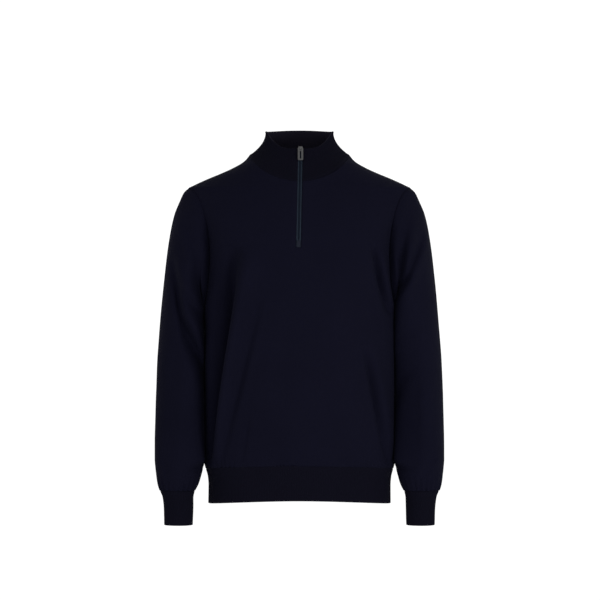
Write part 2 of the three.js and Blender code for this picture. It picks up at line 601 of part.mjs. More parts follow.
// Angles that divide a closed curve into equal lengths, from theta 0.
function evenAngles(pointAt, count, from = 0, to = 360) {
  const samples = 1440;
  const lengths = [0];
  for (let i = 1; i <= samples; i++) {
    const a = pointAt(lerp(from, to, (i - 1) / samples));
    lengths.push(lengths[i - 1] + a.distanceTo(pointAt(lerp(from, to, i / samples))));
  }
  return Array.from({ length: count + 1 }, (_, k) => {
    const wanted = Math.min((lengths[samples] * k) / count, lengths[samples]);
    const i = Math.max(lengths.findIndex((length) => length >= wanted), 1);
    const share = (wanted - lengths[i - 1]) / (lengths[i] - lengths[i - 1]);
    return lerp(from, to, (i - 1 + share) / samples);
  });
}

// The hem is level at the back and sides, and a little higher at the middle of the front.
const sideShare = (theta) => (Math.abs(theta) < 90 ? Math.sin(radians(theta)) ** 2 : 1);
const hemSeamZ = (theta) => lerp(hemSeamFrontZ, hemSeamSideZ, sideShare(theta));
const hemEdgeZ = (theta) => lerp(hemFrontZ, hemSideZ, sideShare(theta));

// The ribbed band round the hem. It narrows a little at its folded lower edge.
function makeHemBand() {
  const perInner = 4;
  const thetas = evenAngles((theta) => ringPoint(theta, -640), 2 * hemRibs, -180, 180);
  const levels = [
    { down: 0, out: 0.2 },
    { down: 0.09, out: 1 },
    { down: 1, out: 0.7 },
  ];
  const place = (i, j) => {
    const theta = thetas[i];
    const z = lerp(hemSeamZ(theta) - seamEase, hemEdgeZ(theta), levels[j].down);
    const point = ringPoint(theta, z);
    const outwards = normalOf(ringPoint, Math.abs(theta), z, 0.5, 1);
    outwards.x *= Math.sign(theta) || 1;
    outwards.z = 0;
    return { point, outwards: outwards.normalize() };
  };
  const outerAt = (i, j) => {
    const { point, outwards } = place(i, j);
    const rib = (i % 2 ? ribHeight : 0) * levels[j].out;
    return point.addScaledVector(outwards, (ribThickness / 2) * Math.max(levels[j].out, 0.5) + rib);
  };
  const innerAt = (i, j) => {
    const { point, outwards } = place(i, j);
    return point.addScaledVector(outwards, -ribThickness / 2);
  };
  const rows = levels.length - 1;
  const innerColumns = (2 * hemRibs) / perInner;
  return bandWall({ innerColumns, perInner, rows, closed: true, outerAt, innerAt });
}

function makeCuff(side) {
  const perInner = 4;
  const levels = [
    { down: 0, out: 0.2 },
    { down: 0.14, out: 1 },
    { down: 0.5, out: 1 },
    { down: 1, out: 0.7 },
  ];
  const place = (i, j) => {
    const alpha = (180 * i) / cuffRibs;
    const down = lerp(seamEase, cuff.length, levels[j].down);
    const point = sectionPoint(cuff, alpha, down);
    const middle = sectionPoint(cuff, 0, down).lerp(sectionPoint(cuff, 180, down), 0.5);
    const outwards = point.clone().sub(middle).normalize();
    return { point, outwards };
  };
  const toSide = (point) => point.setX(side * point.x);
  const outerAt = (i, j) => {
    const { point, outwards } = place(i, j);
    const rib = (i % 2 ? ribHeight : 0) * levels[j].out;
    return toSide(point.addScaledVector(outwards, (ribThickness / 2) * Math.max(levels[j].out, 0.5) + rib));
  };
  const innerAt = (i, j) => {
    const { point, outwards } = place(i, j);
    return toSide(point.addScaledVector(outwards, -ribThickness / 2));
  };
  const rows = levels.length - 1;
  const innerColumns = (2 * cuffRibs) / perInner;
  return bandWall({ innerColumns, perInner, rows, closed: true, outerAt, innerAt });
}

// The standing collar. Level 0 is its seam with the body and level 1 its folded top edge.
const collarTop = { halfWidth: 66.5, front: 62, back: 60 };
const neckSeamZ = (theta) => {
  if (Math.abs(theta) < 90) return lerp(neckFrontZ, 0, neckShare(theta));
  return lerp(neckBackZ, 0, Math.sin(radians(theta)) ** 2);
};
const collarEdgeZ = (theta) => {
  const side = Math.abs(Math.sin(radians(theta)));
  if (Math.abs(theta) < 90) return lerp(collarFrontZ, collarSideZ, side ** 3.5);
  return lerp(collarBackZ, collarSideZ, side ** 2);
};
const collarFlare = (theta, level) => (1 - level) ** lerp(1.3, 2.15, Math.sin(radians(theta)) ** 2);
function collarPoint(theta, level) {
  const s = Math.sin(radians(theta));
  const c = Math.cos(radians(theta));
  const seam = ringPoint(theta, neckSeamZ(theta));
  const depth = c > 0 ? collarTop.front : collarTop.back;
  const top = new THREE.Vector3(collarTop.halfWidth * s, -depth * c, collarEdgeZ(theta));
  const point = top.clone().lerp(seam, collarFlare(theta, level));
  point.z = lerp(seam.z, top.z, level);
  return point;
}
const collarNormal = (theta, level) => {
  const inside = Math.min(Math.max(level, 0.02), 0.98);
  const normal = normalOf(collarPoint, Math.abs(theta), inside, 0.5, 0.02);
  normal.x *= Math.sign(theta) || 1;
  return normal;
};
// The turn at which the collar's front reaches a distance from its middle.
const collarTurnAt = (x, level) => {
  const reach = lerp(collarTop.halfWidth, halfWidthAt(neckFrontZ), collarFlare(0, level));
  return THREE.MathUtils.radToDeg(Math.asin(x / reach));
};

function makeCollar() {
  const perInner = 4;
  const levels = [
    { level: 0.008, out: 0.2 },
    { level: 0.12, out: 1 },
    { level: 0.36, out: 1 },
    { level: 0.66, out: 1 },
    { level: 1, out: 0.6 },
  ];
  // The columns run from the slit's edge on the wearer's left, round the back, to its other edge.
  const wrapped = (theta) => (theta > 180 ? theta - 360 : theta);
  const around = evenAngles((theta) => collarPoint(wrapped(theta), 0.5), 2 * collarRibs);
  const place = (i, j) => {
    const { level } = levels[j];
    const x = zipX(lerp(neckFrontZ, collarFrontZ, level));
    const from = collarTurnAt(x + slitHalfWidth, level);
    const to = 360 + collarTurnAt(x - slitHalfWidth, level);
    const theta = wrapped(lerp(from, to, around[i] / 360));
    return { point: collarPoint(theta, level), outwards: collarNormal(theta, level) };
  };
  const outerAt = (i, j) => {
    const { point, outwards } = place(i, j);
    const isRib = i % 2 && i > 2 && i < 2 * collarRibs - 2;
    const plain = (collarThickness / 2) * Math.max(levels[j].out, 0.6);
    return point.addScaledVector(outwards, plain + (isRib ? ribHeight * levels[j].out : 0));
  };
  const innerAt = (i, j) => {
    const { point, outwards } = place(i, j);
    return point.addScaledVector(outwards, -collarThickness / 2);
  };
  const innerColumns = (2 * collarRibs) / perInner;
  return bandWall({ innerColumns, perInner, rows: levels.length - 1, closed: false, outerAt, innerAt });
}

// A place on the middle of the front's and collar's wall, by its distance from the zip's middle,
// with the outward direction there.
function zipPlace(aside, z) {
  const x = zipX(z) + aside;
  const level = (z - neckFrontZ) / (collarFrontZ - neckFrontZ);
  const normal = new THREE.Vector3();
  if (level > 0) {
    const inside = Math.min(level, 1);
    const theta = collarTurnAt(x, inside);
    const point = collarPoint(theta, inside);
    return { point: point.setZ(z), normal: normal.copy(collarNormal(theta, inside)) };
  }
  const theta = THREE.MathUtils.radToDeg(Math.asin(x / halfWidthAt(z)));
  normal.copy(bodyNormal(Math.abs(theta), z));
  normal.x *= Math.sign(theta) || 1;
  return { point: bodyPoint(theta, z), normal };
}

// A strip along the zip: from and to are its edges' distances from the zip's middle, and offset is
// how far the middle of its thickness stands out from the middle of the front's wall.
const zipStripSize = { tapeReach: 12, tapeThickness: 1, tapeOffset: -2.45, chainHalf: 2.2 };
function zipStrip({ from, to, bottomZ, topZ, thickness, offset, rows }) {
  const skinAt = (i, j) => {
    const { point, normal } = zipPlace(i ? to : from, lerp(bottomZ, topZ, j / rows));
    return { point: point.addScaledVector(normal, offset), normal };
  };
  return panelWall({ columns: 1, rows, thickness, skinAt });
}

const slider = { width: 7.8, bottomZ: 8.6, topZ: 17.6, depth: 3.6, middleY: -63.9 };
const bridge = { width: 1.8, hole: 1.5, rim: 1.1, standOff: 1.9 };
const pull = { width: 10.6, length: 24.5, thickness: 1.6, slotWidth: 2.7, rail: 3, lean: 20 };
const stop = { width: 7.6, topWidth: 6.4, topZ: -166.8 };
const hinge = new THREE.Vector3(
  zipX((slider.bottomZ + slider.topZ) / 2),
  slider.middleY - slider.depth / 2 - bridge.standOff,
  13.4,
);

function toSolid(geometry) {
  const plain = new THREE.BufferGeometry();
  const source = geometry.index ? geometry.toNonIndexed() : geometry;
  plain.setAttribute("position", source.getAttribute("position"));
  const merged = mergeVertices(plain, 1e-4);
  const vertProperties = Float32Array.from(merged.getAttribute("position").array);
  const triVerts = Uint32Array.from(merged.index.array);
  return new wasm.Manifold(new wasm.Mesh({ numProp: 3, vertProperties, triVerts }));
}

function toGeometry(solid) {
  const { vertProperties, triVerts } = solid.getMesh();
  const geometry = new THREE.BufferGeometry();
  geometry.setAttribute("position", new THREE.Float32BufferAttribute(vertProperties, 3));
  geometry.setIndex(Array.from(triVerts));
  return geometry;
}

// The slider's body, and the small bridge on its front that the pull tab hangs from.
function makeSlider() {
  const half = slider.width / 2;
  const height = slider.topZ - slider.bottomZ;
  const outline = new THREE.Shape();
  outline.moveTo(-half * 0.72, 0).lineTo(half * 0.72, 0).lineTo(half, height * 0.55);
  outline.lineTo(half * 0.86, height).lineTo(-half * 0.86, height).lineTo(-half, height * 0.55);
  outline.closePath();
  const body = new THREE.ExtrudeGeometry(outline, { depth: slider.depth, bevelEnabled: false });
  body.rotateX(Math.PI / 2).translate(hinge.x, slider.middleY + slider.depth / 2, slider.bottomZ);
  const reach = bridge.hole + bridge.rim;
  const arch = new THREE.Shape();
  arch.moveTo(-bridge.standOff - 0.5, -reach - 0.6).lineTo(0, -reach);
  arch.absarc(0, 0, reach, -Math.PI / 2, Math.PI / 2).lineTo(-bridge.standOff - 0.5, reach + 0.6);
  arch.closePath();
  const hole = new THREE.Path();
  hole.absarc(0, 0, bridge.hole, 0, 2 * Math.PI, true);
  arch.holes.push(hole);
  const loop = new THREE.ExtrudeGeometry(arch, {
    depth: bridge.width, bevelEnabled: false, curveSegments: 8,
  });
  // The arch is drawn with its own x pointing forward and its own y pointing up.
  const forward = new THREE.Vector3(0, -1, 0);
  const up = new THREE.Vector3(0, 0, 1);
  const turn = new THREE.Matrix4().makeBasis(forward, up, forward.clone().cross(up));
  loop.applyMatrix4(turn).translate(hinge.x + bridge.width / 2, hinge.y, hinge.z);
  return toGeometry(toSolid(body).add(toSolid(loop)));
}

// The pull tab, hanging from the bridge by the bar at its top and leaning on the cloth.
function makePull() {
  const half = pull.width / 2;
  const top = 0.9;
  const round = 2;
  const outline = new THREE.Shape();
  outline.moveTo(-half + round, -pull.length).lineTo(half - round, -pull.length);
  outline.quadraticCurveTo(half, -pull.length, half, -pull.length + round);
  outline.lineTo(half, top - 1).lineTo(half - 1, top).lineTo(-half + 1, top).lineTo(-half, top - 1);
  outline.lineTo(-half, -pull.length + round);
  outline.quadraticCurveTo(-half, -pull.length, -half + round, -pull.length);
  const slot = new THREE.Path();
  const slotHalf = pull.slotWidth / 2;
  slot.moveTo(-slotHalf, -0.8).lineTo(-slotHalf, -pull.length + pull.rail);
  slot.lineTo(slotHalf, -pull.length + pull.rail).lineTo(slotHalf, -0.8).closePath();
  outline.holes.push(slot);
  const tab = new THREE.ExtrudeGeometry(outline, {
    depth: pull.thickness, bevelEnabled: false, curveSegments: 4,
  });
  tab.rotateX(Math.PI / 2).translate(0, pull.thickness / 2, 0);
  tab.rotateX(radians(-pull.lean)).translate(hinge.x, hinge.y, hinge.z);
  return toGeometry(toSolid(tab));
}

// The stop at the lower end of the zip, in the bottom of the slit.
function makeStop() {
  const bottomZ = zipBottomZ + 0.4;
  const skinAt = (i, j) => {
    const z = j ? stop.topZ : bottomZ;
    const half = (j ? stop.topWidth : stop.width) / 2;
    const { point, normal } = zipPlace(i ? half : -half, z);
    return { point: point.addScaledVector(normal, -0.35), normal };
  };
  return panelWall({ columns: 1, rows: 1, thickness: 2.5, skinAt });
}

addPiece("front", makeFront(), navyKnit);
addPiece("back", makeBack(), navyKnit);
addPiece("sleeve_left", makeSleeve(1, leftSleeveFolds), navyKnit);
addPiece("sleeve_right", makeSleeve(-1, rightSleeveFolds), navyKnit);
addPiece("cuff_left", makeCuff(1), navyRib);
addPiece("cuff_right", makeCuff(-1), navyRib);
addPiece("hem_band", makeHemBand(), navyRib);
addPiece("collar", makeCollar(), navyRib);

const { tapeReach, tapeThickness, tapeOffset, chainHalf } = zipStripSize;
const tape = { bottomZ: zipBottomZ - 9, topZ: 12.6, thickness: tapeThickness, offset: tapeOffset, rows: 14 };
const chainBottomZ = stop.topZ + 0.3;
const chain = { bottomZ: chainBottomZ, topZ: slider.bottomZ - 0.3, thickness: 2, offset: -0.45, rows: 14 };
addPiece("zip_tape_left", zipStrip({ ...tape, from: 0.15, to: tapeReach }), navyTape);
addPiece("zip_tape_right", zipStrip({ ...tape, from: -tapeReach, to: -0.15 }), navyTape);
addPiece("zip_chain", zipStrip({ ...chain, from: -chainHalf, to: chainHalf }), navyTape);
addPiece("zip_stop", makeStop(), navyTape);
addPiece("zip_slider", makeSlider(), darkMetal);
addPiece("zip_pull", makePull(), darkMetal);

export default group;
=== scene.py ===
import json
import math

import bmesh
import bpy
from mathutils import Matrix, Vector, noise


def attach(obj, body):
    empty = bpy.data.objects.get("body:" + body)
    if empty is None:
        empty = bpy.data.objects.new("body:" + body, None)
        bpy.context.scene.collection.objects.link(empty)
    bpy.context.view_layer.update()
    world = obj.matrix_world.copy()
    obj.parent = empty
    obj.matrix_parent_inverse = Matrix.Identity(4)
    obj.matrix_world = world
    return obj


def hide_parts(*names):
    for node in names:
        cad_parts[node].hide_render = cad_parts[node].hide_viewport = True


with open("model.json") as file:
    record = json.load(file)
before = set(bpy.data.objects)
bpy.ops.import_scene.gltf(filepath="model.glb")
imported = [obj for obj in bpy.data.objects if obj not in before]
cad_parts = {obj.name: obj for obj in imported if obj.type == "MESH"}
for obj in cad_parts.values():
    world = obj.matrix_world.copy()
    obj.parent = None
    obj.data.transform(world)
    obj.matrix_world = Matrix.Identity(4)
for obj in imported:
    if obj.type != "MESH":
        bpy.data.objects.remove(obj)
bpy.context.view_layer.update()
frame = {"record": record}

mm = 0.001  # the tables below are in millimetres, and every mesh is in metres
mergeDistance = 0.001 * mm

# Camera: straight at the front, at the photo's distance and height
cameraSetup = {
    "distance": 6000,
    "photoPoints": 600,  # the photo is this many points wide and high
    "pointSize": 1.97,
    "neckPoint": (299.5, 157),  # where the origin is in the photo
    "sensor": 36,
}


def makeCamera():
    setup = cameraSetup
    middle = setup["photoPoints"] / 2
    cam = bpy.data.cameras.new("camera")
    cam.sensor_width = setup["sensor"]
    cam.lens = setup["sensor"] * setup["distance"] / (setup["photoPoints"] * setup["pointSize"])
    cam.clip_end = 100
    obj = bpy.data.objects.new("camera", cam)
    bpy.context.scene.collection.objects.link(obj)
    x = (middle - setup["neckPoint"][0]) * setup["pointSize"]
    z = (setup["neckPoint"][1] - middle) * setup["pointSize"]
    obj.location = Vector((x, -setup["distance"], z)) * mm
    obj.rotation_euler = (math.radians(90), 0, 0)
    bpy.context.scene.camera = obj


makeCamera()
print("camera placed")


# Small helpers

def lerp(a, b, t):
    return a + (b - a) * t


def clamp(x, low=0.0, high=1.0):
    return min(max(x, low), high)


def smoothstep(x, low, high):
    t = clamp((x - low) / (high - low))
    return t * t * (3 - 2 * t)


def bell(x, width, power=2):
    # 1 at x = 0, fading away over width to either side
    return math.exp(-(abs(x / width) ** power))


def sinOf(degrees):
    return math.sin(math.radians(degrees))


def cosOf(degrees):
    return math.cos(math.radians(degrees))


def smoothColumn(table, along, column):
    # A smooth function through one column of a table, which never overshoots its rows
    rows = sorted(table, key=lambda row: row[along])
    xs = [row[along] for row in rows]
    ys = [row[column] for row in rows]
    rises = [(ys[i + 1] - ys[i]) / (xs[i + 1] - xs[i]) for i in range(len(xs) - 1)]
    slopes = []
    for i in range(len(xs)):
        before, after = rises[max(i - 1, 0)], rises[min(i, len(rises) - 1)]
        slopes.append(0 if before * after <= 0 else 2 * before * after / (before + after))

    def valueAt(x):
        x = clamp(x, xs[0], xs[-1])
        i = 0
        while i < len(xs) - 2 and xs[i + 1] <= x:
            i += 1
        gap = xs[i + 1] - xs[i]
        t = (x - xs[i]) / gap
        bend = gap * t * (1 - t) * ((1 - t) * slopes[i] - t * slopes[i + 1])
        return lerp(ys[i], ys[i + 1], t * t * (3 - 2 * t)) + bend

    return valueAt


def named(columns, *rows):
    keys = columns.split()
    return [dict(zip(keys, row)) for row in rows]


# The body's shape: horizontal sections from the hem to the neck

body = {
    "shoulderZ": -63,
    "underarmZ": -300,
    "neckFrontZ": -51,
    "neckBackZ": 4,
    "hemSeamFrontZ": -603,
    "hemSeamSideZ": -612,
    "thickness": 2,
    "ease": 0.1,  # each panel stops this far short of its seams
    "seamDip": 0.35,
    "seamReach": 1.8,
    "sections": named(
        "z halfWidth front back square",
        (-690, 177.5, 112, 100, 2.4),
        (-645, 177, 113, 101, 2.4),
        (-628, 178.5, 114, 102, 2.4),
        (-612, 183, 117, 104, 2.42),
        (-598, 186, 121, 108, 2.45),
        (-560, 186.5, 124, 110, 2.45),
        (-450, 186, 127, 104, 2.45),
        (-340, 186.5, 132, 111, 2.4),
        (-300, 188, 135, 117, 2.4),
        (-270, 191, 136, 121, 2.4),
        (-220, 197, 135, 126, 2.38),
        (-160, 205, 128, 128, 2.23),
        (-110, 213, 116, 124, 1.98),
        (-80, 217, 106, 118, 1.77),
        (-63, 218.5, 101, 113, 1.61),
        (-57, 208, 99, 110, 1.6),
        (-45, 182, 95, 104, 1.64),
        (-33, 153, 91, 97, 1.76),
        (-22, 129, 87, 89, 1.89),
        (-10, 109, 82, 79, 2),
        (0, 100, 78, 71, 2),
        (10, 96, 75, 66, 2),
    ),
    # how far the armhole seam is pulled in, by its height as a share
    "armholePull": named(
        "share front back",
        (0, 0, 0),
        (0.12, 17, 7),
        (0.35, 26, 13),
        (0.6, 18, 10),
        (0.8, 4, 3),
        (1, 0, 0),
    ),
    "frontTurn": 33.5,
    "backTurn": 26,
    "skew": 1.1,
    "fullness": 0.75,
    "turnLength": 2.4,  # about this many millimetres to a degree round the body
    "creaseWidth": 10.5,
    "sleeveCreaseWidth": 17,
    "creasePower": 1.5,
    "dipFade": (0.4, 0.8),  # the armhole's seam line fades between these shares of its height
    "outwardX": 0.35,  # folds sink mostly straight back, and less towards the middle
    "foldsFade": (0.15, 0.5),  # and fade out round the sides, by how far the cloth faces forward
    "foldsClear": 9,  # and within this distance of the armhole
    "calmNeck": (45, 120),  # distances below the shoulder between which the unevenness sets in
}

halfWidthAt = smoothColumn(body["sections"], "z", "halfWidth")
frontDepthAt = smoothColumn(body["sections"], "z", "front")
backDepthAt = smoothColumn(body["sections"], "z", "back")
squareAt = smoothColumn(body["sections"], "z", "square")
frontPullAt = smoothColumn(body["armholePull"], "share", "front")
backPullAt = smoothColumn(body["armholePull"], "share", "back")


def armholeShare(z):
    # 0 at the underarm and 1 at the shoulder
    return (z - body["underarmZ"]) / (body["shoulderZ"] - body["underarmZ"])


def ringPoint(theta, z):
    # Theta is in degrees: 0 is the front, 90 the wearer's left and 180 the back
    s, c = sinOf(theta), cosOf(theta)
    n = squareAt(z)
    reach = (abs(s) ** n + abs(c) ** n) ** (-1 / n)
    depth = frontDepthAt(z) if c > 0 else backDepthAt(z)
    return Vector((halfWidthAt(z) * s * reach, -depth * c * reach, z))


# Folds as seen from the front, or through the cloth on the back. Each follows a bend through three
# points, falls away over width on one side and over steep on the other, with a low lip beside it.
# Both are narrower at its end, by the share taper.
foldColumns = "x1 z1 x2 z2 x3 z3 depth width steep taper"
frontFolds = named(
    foldColumns,
    (-150, -170, -163, -330, -184, -606, 14, 16, 28, 0.68),
    (-124, -175, -158, -380, -183, -612, 38, 14, 15, 0.45),
    (-74, -270, -114, -440, -158, -606, 4, 11, 7, 0),
    (-98, -505, -104, -550, -113, -606, 2, 7, 4.5, 0),
    (126, -370, 146, -480, 175, -608, 14, 5, 8, 0),
    (144, -175, 157, -240, 178, -312, 18, 8, 5, 0),
    (40, -400, 62, -490, 66, -600, 2, 22, 16, 0),
    (-20, -300, -30, -430, -44, -560, 1.6, 26, 20, 0),
    (96, -250, 104, -340, 112, -470, 1.8, 22, 18, 0),
)
backFolds = named(
    foldColumns,
    (-160, -200, -122, -330, -84, -470, 8, 18, 10, 0),
    (158, -215, 128, -350, 98, -500, 7, 16, 9, 0),
    (-105, -455, 0, -486, 92, -452, 5, 14, 9, 0),
    (-70, -520, 30, -548, 128, -520, 4, 12, 8, 0),
    (-150, -500, -158, -555, -162, -606, 4, 10, 7, 0),
)
sleeveFoldColumns = "x1 z1 x2 z2 x3 z3 face depth width steep taper"
leftSleeveFolds = named(
    sleeveFoldColumns,
    (193, -120, 193, -250, 188, -352, 1, 30, 20, 12, 0),
    (196, -380, 194, -510, 200, -618, 1, 20, 16, 25, 0),
    (215, -112, 199, -190, 190, -270, 1, 7, 6, 6, 0),
    (243, -150, 214, -228, 190, -292, 1, 11, 7, 6, 0),
    (221, -412, 213, -448, 205, -500, 1, 3, 8, 5, 0),
    (264, -582, 254, -606, 243, -632, 1, 2.5, 7, 5, 0),
    (250, -330, 226, -372, 200, -392, -1, 5, 11, 8, 0),
    (262, -400, 238, -424, 208, -430, -1, 4, 10, 8, 0),
)
rightSleeveFolds = named(
    sleeveFoldColumns,
    (190, -175, 198, -340, 188, -490, 1, 36, 20, 13, 0),
    (188, -370, 188, -510, 194, -620, 1, 32, 20, 17, 0),
    (210, -410, 234, -315, 248, -190, 1, 16, 8, 6, 0),
    (200, -470, 214, -395, 230, -310, 1, 14, 6, 5, 0),
    (224, -118, 208, -178, 186, -226, 1, 5, 9, 7, 0),
    (204, -335, 220, -288, 234, -235, 1, 7, 7, 5, 0),
    (268, -570, 262, -600, 256, -636, 1, 2, 7, 5, 0),
    (254, -345, 228, -386, 200, -404, -1, 5, 11, 8, 0),
    (258, -415, 232, -440, 204, -446, -1, 3.5, 10, 8, 0),
)
foldStyle = {
    "pieces": 22,
    "reach": 4,
    "ends": 0.7,  # less than 1 keeps a fold deep until near its ends
    "lip": 0.35,  # height of the lip, as a share of the depth
    "lipAt": 2,  # where it is and how wide, in widths of the steep side
    "lipWidth": 1.1,
}


def foldPath(fold):
    # The fold's bend as points with their direction, and the box outside which it does nothing
    path = []
    for i in range(foldStyle["pieces"] + 1):
        t = i / foldStyle["pieces"]
        runX = lerp(fold["x2"] - fold["x1"], fold["x3"] - fold["x2"], t)
        runZ = lerp(fold["z2"] - fold["z1"], fold["z3"] - fold["z2"], t)
        x = lerp(lerp(fold["x1"], fold["x2"], t), lerp(fold["x2"], fold["x3"], t), t)
        z = lerp(lerp(fold["z1"], fold["z2"], t), lerp(fold["z2"], fold["z3"], t), t)
        path.append((t, x, z, runX, runZ))
    margin = foldStyle["reach"] * max(fold["width"], fold["steep"])
    xs, zs = [p[1] for p in path], [p[2] for p in path]
    return path, (min(xs) - margin, max(xs) + margin, min(zs) - margin, max(zs) + margin)


for someFolds in (frontFolds, backFolds, leftSleeveFolds, rightSleeveFolds):
    for oneFold in someFolds:
        oneFold["path"], oneFold["box"] = foldPath(oneFold)


def foldDrop(folds, x, z):
    # How far a set of folds sinks the cloth at a place
    drop = 0
    for fold in folds:
        x0, x1, z0, z1 = fold["box"]
        if not (x0 < x < x1 and z0 < z < z1):
            continue
        t, px, pz, runX, runZ = min(fold["path"], key=lambda p: (x - p[1]) ** 2 + (z - p[2]) ** 2)
        run = math.hypot(runX, runZ)
        past = ((x - px) * runX + (z - pz) * runZ) / run
        beside = ((z - pz) * runX - (x - px) * runZ) / run
        t = clamp(t + past / (2 * run))
        strength = fold["depth"] * math.sin(math.pi * t) ** foldStyle["ends"]
        narrow = 1 - fold["taper"] * t
        wall = fold["steep"] * narrow
        drop += strength * bell(beside, wall if beside > 0 else fold["width"] * narrow)
        lip = bell(beside - foldStyle["lipAt"] * wall, foldStyle["lipWidth"] * wall)
        drop -= foldStyle["lip"] * strength * lip
    return drop


def armholeAt(alpha, ease=0.0):
    # The wearer's left armhole. Alpha 0 is the shoulder, 90 the front, 180 the underarm, 270 the back
    s = sinOf(alpha)
    halfHeight = (body["shoulderZ"] - body["underarmZ"]) / 2
    share = ((1 + cosOf(alpha)) / 2) ** (1 / body["skew"])
    easedShare = 0.5 + (share - 0.5) * (1 + ease / halfHeight)
    easeTurn = ease / body["turnLength"]
    turn = -(body["frontTurn"] + easeTurn) if s > 0 else body["backTurn"] + easeTurn
    theta = 90 + turn * abs(s) ** body["fullness"]
    return share, theta, body["underarmZ"] + 2 * halfHeight * easedShare


def armholeTurnAt(z, isFront):
    share = armholeShare(z)
    if share <= 0 or share >= 1:
        return 90
    level = 2 * share ** body["skew"] - 1
    turn = body["frontTurn"] if isFront else body["backTurn"]
    return 90 - turn * (1 - level * level) ** (body["fullness"] / 2)


def armholePoint(alpha):
    share, theta, z = armholeAt(alpha)
    pull = frontPullAt(share) if theta < 90 else -backPullAt(share)
    return ringPoint(theta, z), pull


# Slow unevenness that runs mostly up and down the cloth, and its finer waves
drape = named("height acrossScale upScale", (1.5, 0.018, 0.006), (0.35, 0.05, 0.02))


def drapeNoise(x, z, seed):
    total = 0
    for k, wave in enumerate(drape):
        at = Vector((x * wave["acrossScale"], seed + 7 * k, z * wave["upScale"]))
        total += wave["height"] * noise.noise(at)
    return total


def outwardFrom(point):
    return Vector((point.x * body["outwardX"], point.y, 0)).normalized()


def bodyPoint(theta, z):
    point = ringPoint(theta, z)
    outward = outwardFrom(point)
    isFront = abs(theta) < 90
    turn = abs(theta) if isFront else 180 - abs(theta)
    share = armholeShare(z)
    fromSeam = max(armholeTurnAt(z, isFront) - turn, 0) * body["turnLength"]
    facing = smoothstep(cosOf(turn), *body["foldsFade"])
    clear = 1 - bell(fromSeam, body["foldsClear"])
    drop = foldDrop(frontFolds if isFront else backFolds, point.x, z)
    drop += drapeNoise(point.x, z, 3 if isFront else 11) * smoothstep(-z, *body["calmNeck"])
    point -= outward * drop * facing * clear
    pull = frontPullAt(share) if isFront else -backPullAt(share)
    point.y += pull * bell(fromSeam, body["creaseWidth"], body["creasePower"])
    if 0 < share < 1:
        dip = body["seamDip"] * bell(fromSeam, body["seamReach"])
        point -= outward * dip * (1 - smoothstep(share, *body["dipFade"]))
    return point


def gridMesh(name, columns, rows, place, flip=False, closed=False, trim=None):
    # A grid bent into place. place(i, j) gives each corner in millimetres. Its UV map holds the
    # distances along the cloth in metres, so that a knit pattern on it keeps its real size.
    # Closed merges the edges that meet, and trim is what is done to the mesh at the end.
    bm = bmesh.new()
    bmesh.ops.create_grid(bm, x_segments=columns, y_segments=rows, size=0.5)
    corners = {}
    for vert in bm.verts:
        i, j = round((vert.co.x + 0.5) * columns), round((vert.co.y + 0.5) * rows)
        corners[vert.index] = (i, j)
        vert.co = place(i, j) * mm
    bm.verts.ensure_lookup_table()
    at = {corners[vert.index]: vert.co.copy() for vert in bm.verts}
    across, up = {}, {}
    for j in range(rows + 1):
        total = 0
        for i in range(columns + 1):
            total += (at[i, j] - at[i - 1, j]).length if i else 0
            across[i, j] = total
        middle = across[columns // 2, j]
        for i in range(columns + 1):
            across[i, j] -= middle
    for i in range(columns + 1):
        total = 0
        for j in range(rows + 1):
            total += (at[i, j] - at[i, j - 1]).length if j else 0
            up[i, j] = total
    uvLayer = bm.loops.layers.uv.new("cloth")
    for face in bm.faces:
        for loop in face.loops:
            corner = corners[loop.vert.index]
            loop[uvLayer].uv = (across[corner], up[corner])
        face.smooth = True
    if closed:
        bmesh.ops.remove_doubles(bm, verts=bm.verts, dist=mergeDistance)
    if flip:
        bmesh.ops.reverse_faces(bm, faces=bm.faces)
    if trim:
        trim(bm)
    return finishMesh(name, bm)


def finishMesh(name, bm, smooth=False):
    if smooth:
        for face in bm.faces:
            face.smooth = True
    mesh = bpy.data.meshes.new(name)
    bm.to_mesh(mesh)
    bm.free()
    obj = bpy.data.objects.new(name, mesh)
    bpy.context.scene.collection.objects.link(obj)
    return obj


def giveThickness(obj, thickness):
    shell = obj.modifiers.new("thickness", "SOLIDIFY")
    shell.thickness = thickness * mm
    shell.offset = 0
    return obj


def capEnds(bm):
    bmesh.ops.holes_fill(bm, edges=[edge for edge in bm.edges if edge.is_boundary], sides=0)


# Front and back panels

panel = {
    "sideRows": 88,
    "armholeRows": 70,
    "shoulderRows": 34,
    "slitFrom": 0.6,  # share of the armhole's rows below the zip
    "steadyTurn": 50,
    "front": {"steady": 48, "outer": 32},
    "back": {"steady": 42, "outer": 28},
    "closing": 5,  # only the columns beside the panel's edge follow it closely
    "smoothRows": 9,
    "sideEase": 0.04,  # degrees
}
hemGathers = {
    "reach": 40,
    "fullBelow": 2,
    "height": 1.9,
    "spacing": 8.5,
    "radius": 150,
    "fade": 1.3,
    "swing": 3,  # how far they stray along the hem
    "swingScale": 0.03,
    "uneven": (0.55, 0.6),  # their usual share of the height, and how far it varies
    "unevenScale": 0.045,
}
neckRound = 0.13  # the front of the neckline is a soft V, and more is rounder
neckEaseZ = -160  # the rows of the front follow that V from this height up
zipSizes = {
    "bottomZ": -180.5,
    "topZ": 13.5,
    "slitHalf": 4.6,
    "lean": 4,  # the zip drifts this far to the wearer's right over its length
}
turnedEdge = (0.9, 0.25, 0.05)  # how far the cloth's edge turns in beside the zip, by columns


def zipX(z):
    share = (z - zipSizes["bottomZ"]) / (zipSizes["topZ"] - zipSizes["bottomZ"])
    return lerp(-zipSizes["lean"] / 2, zipSizes["lean"] / 2, share)


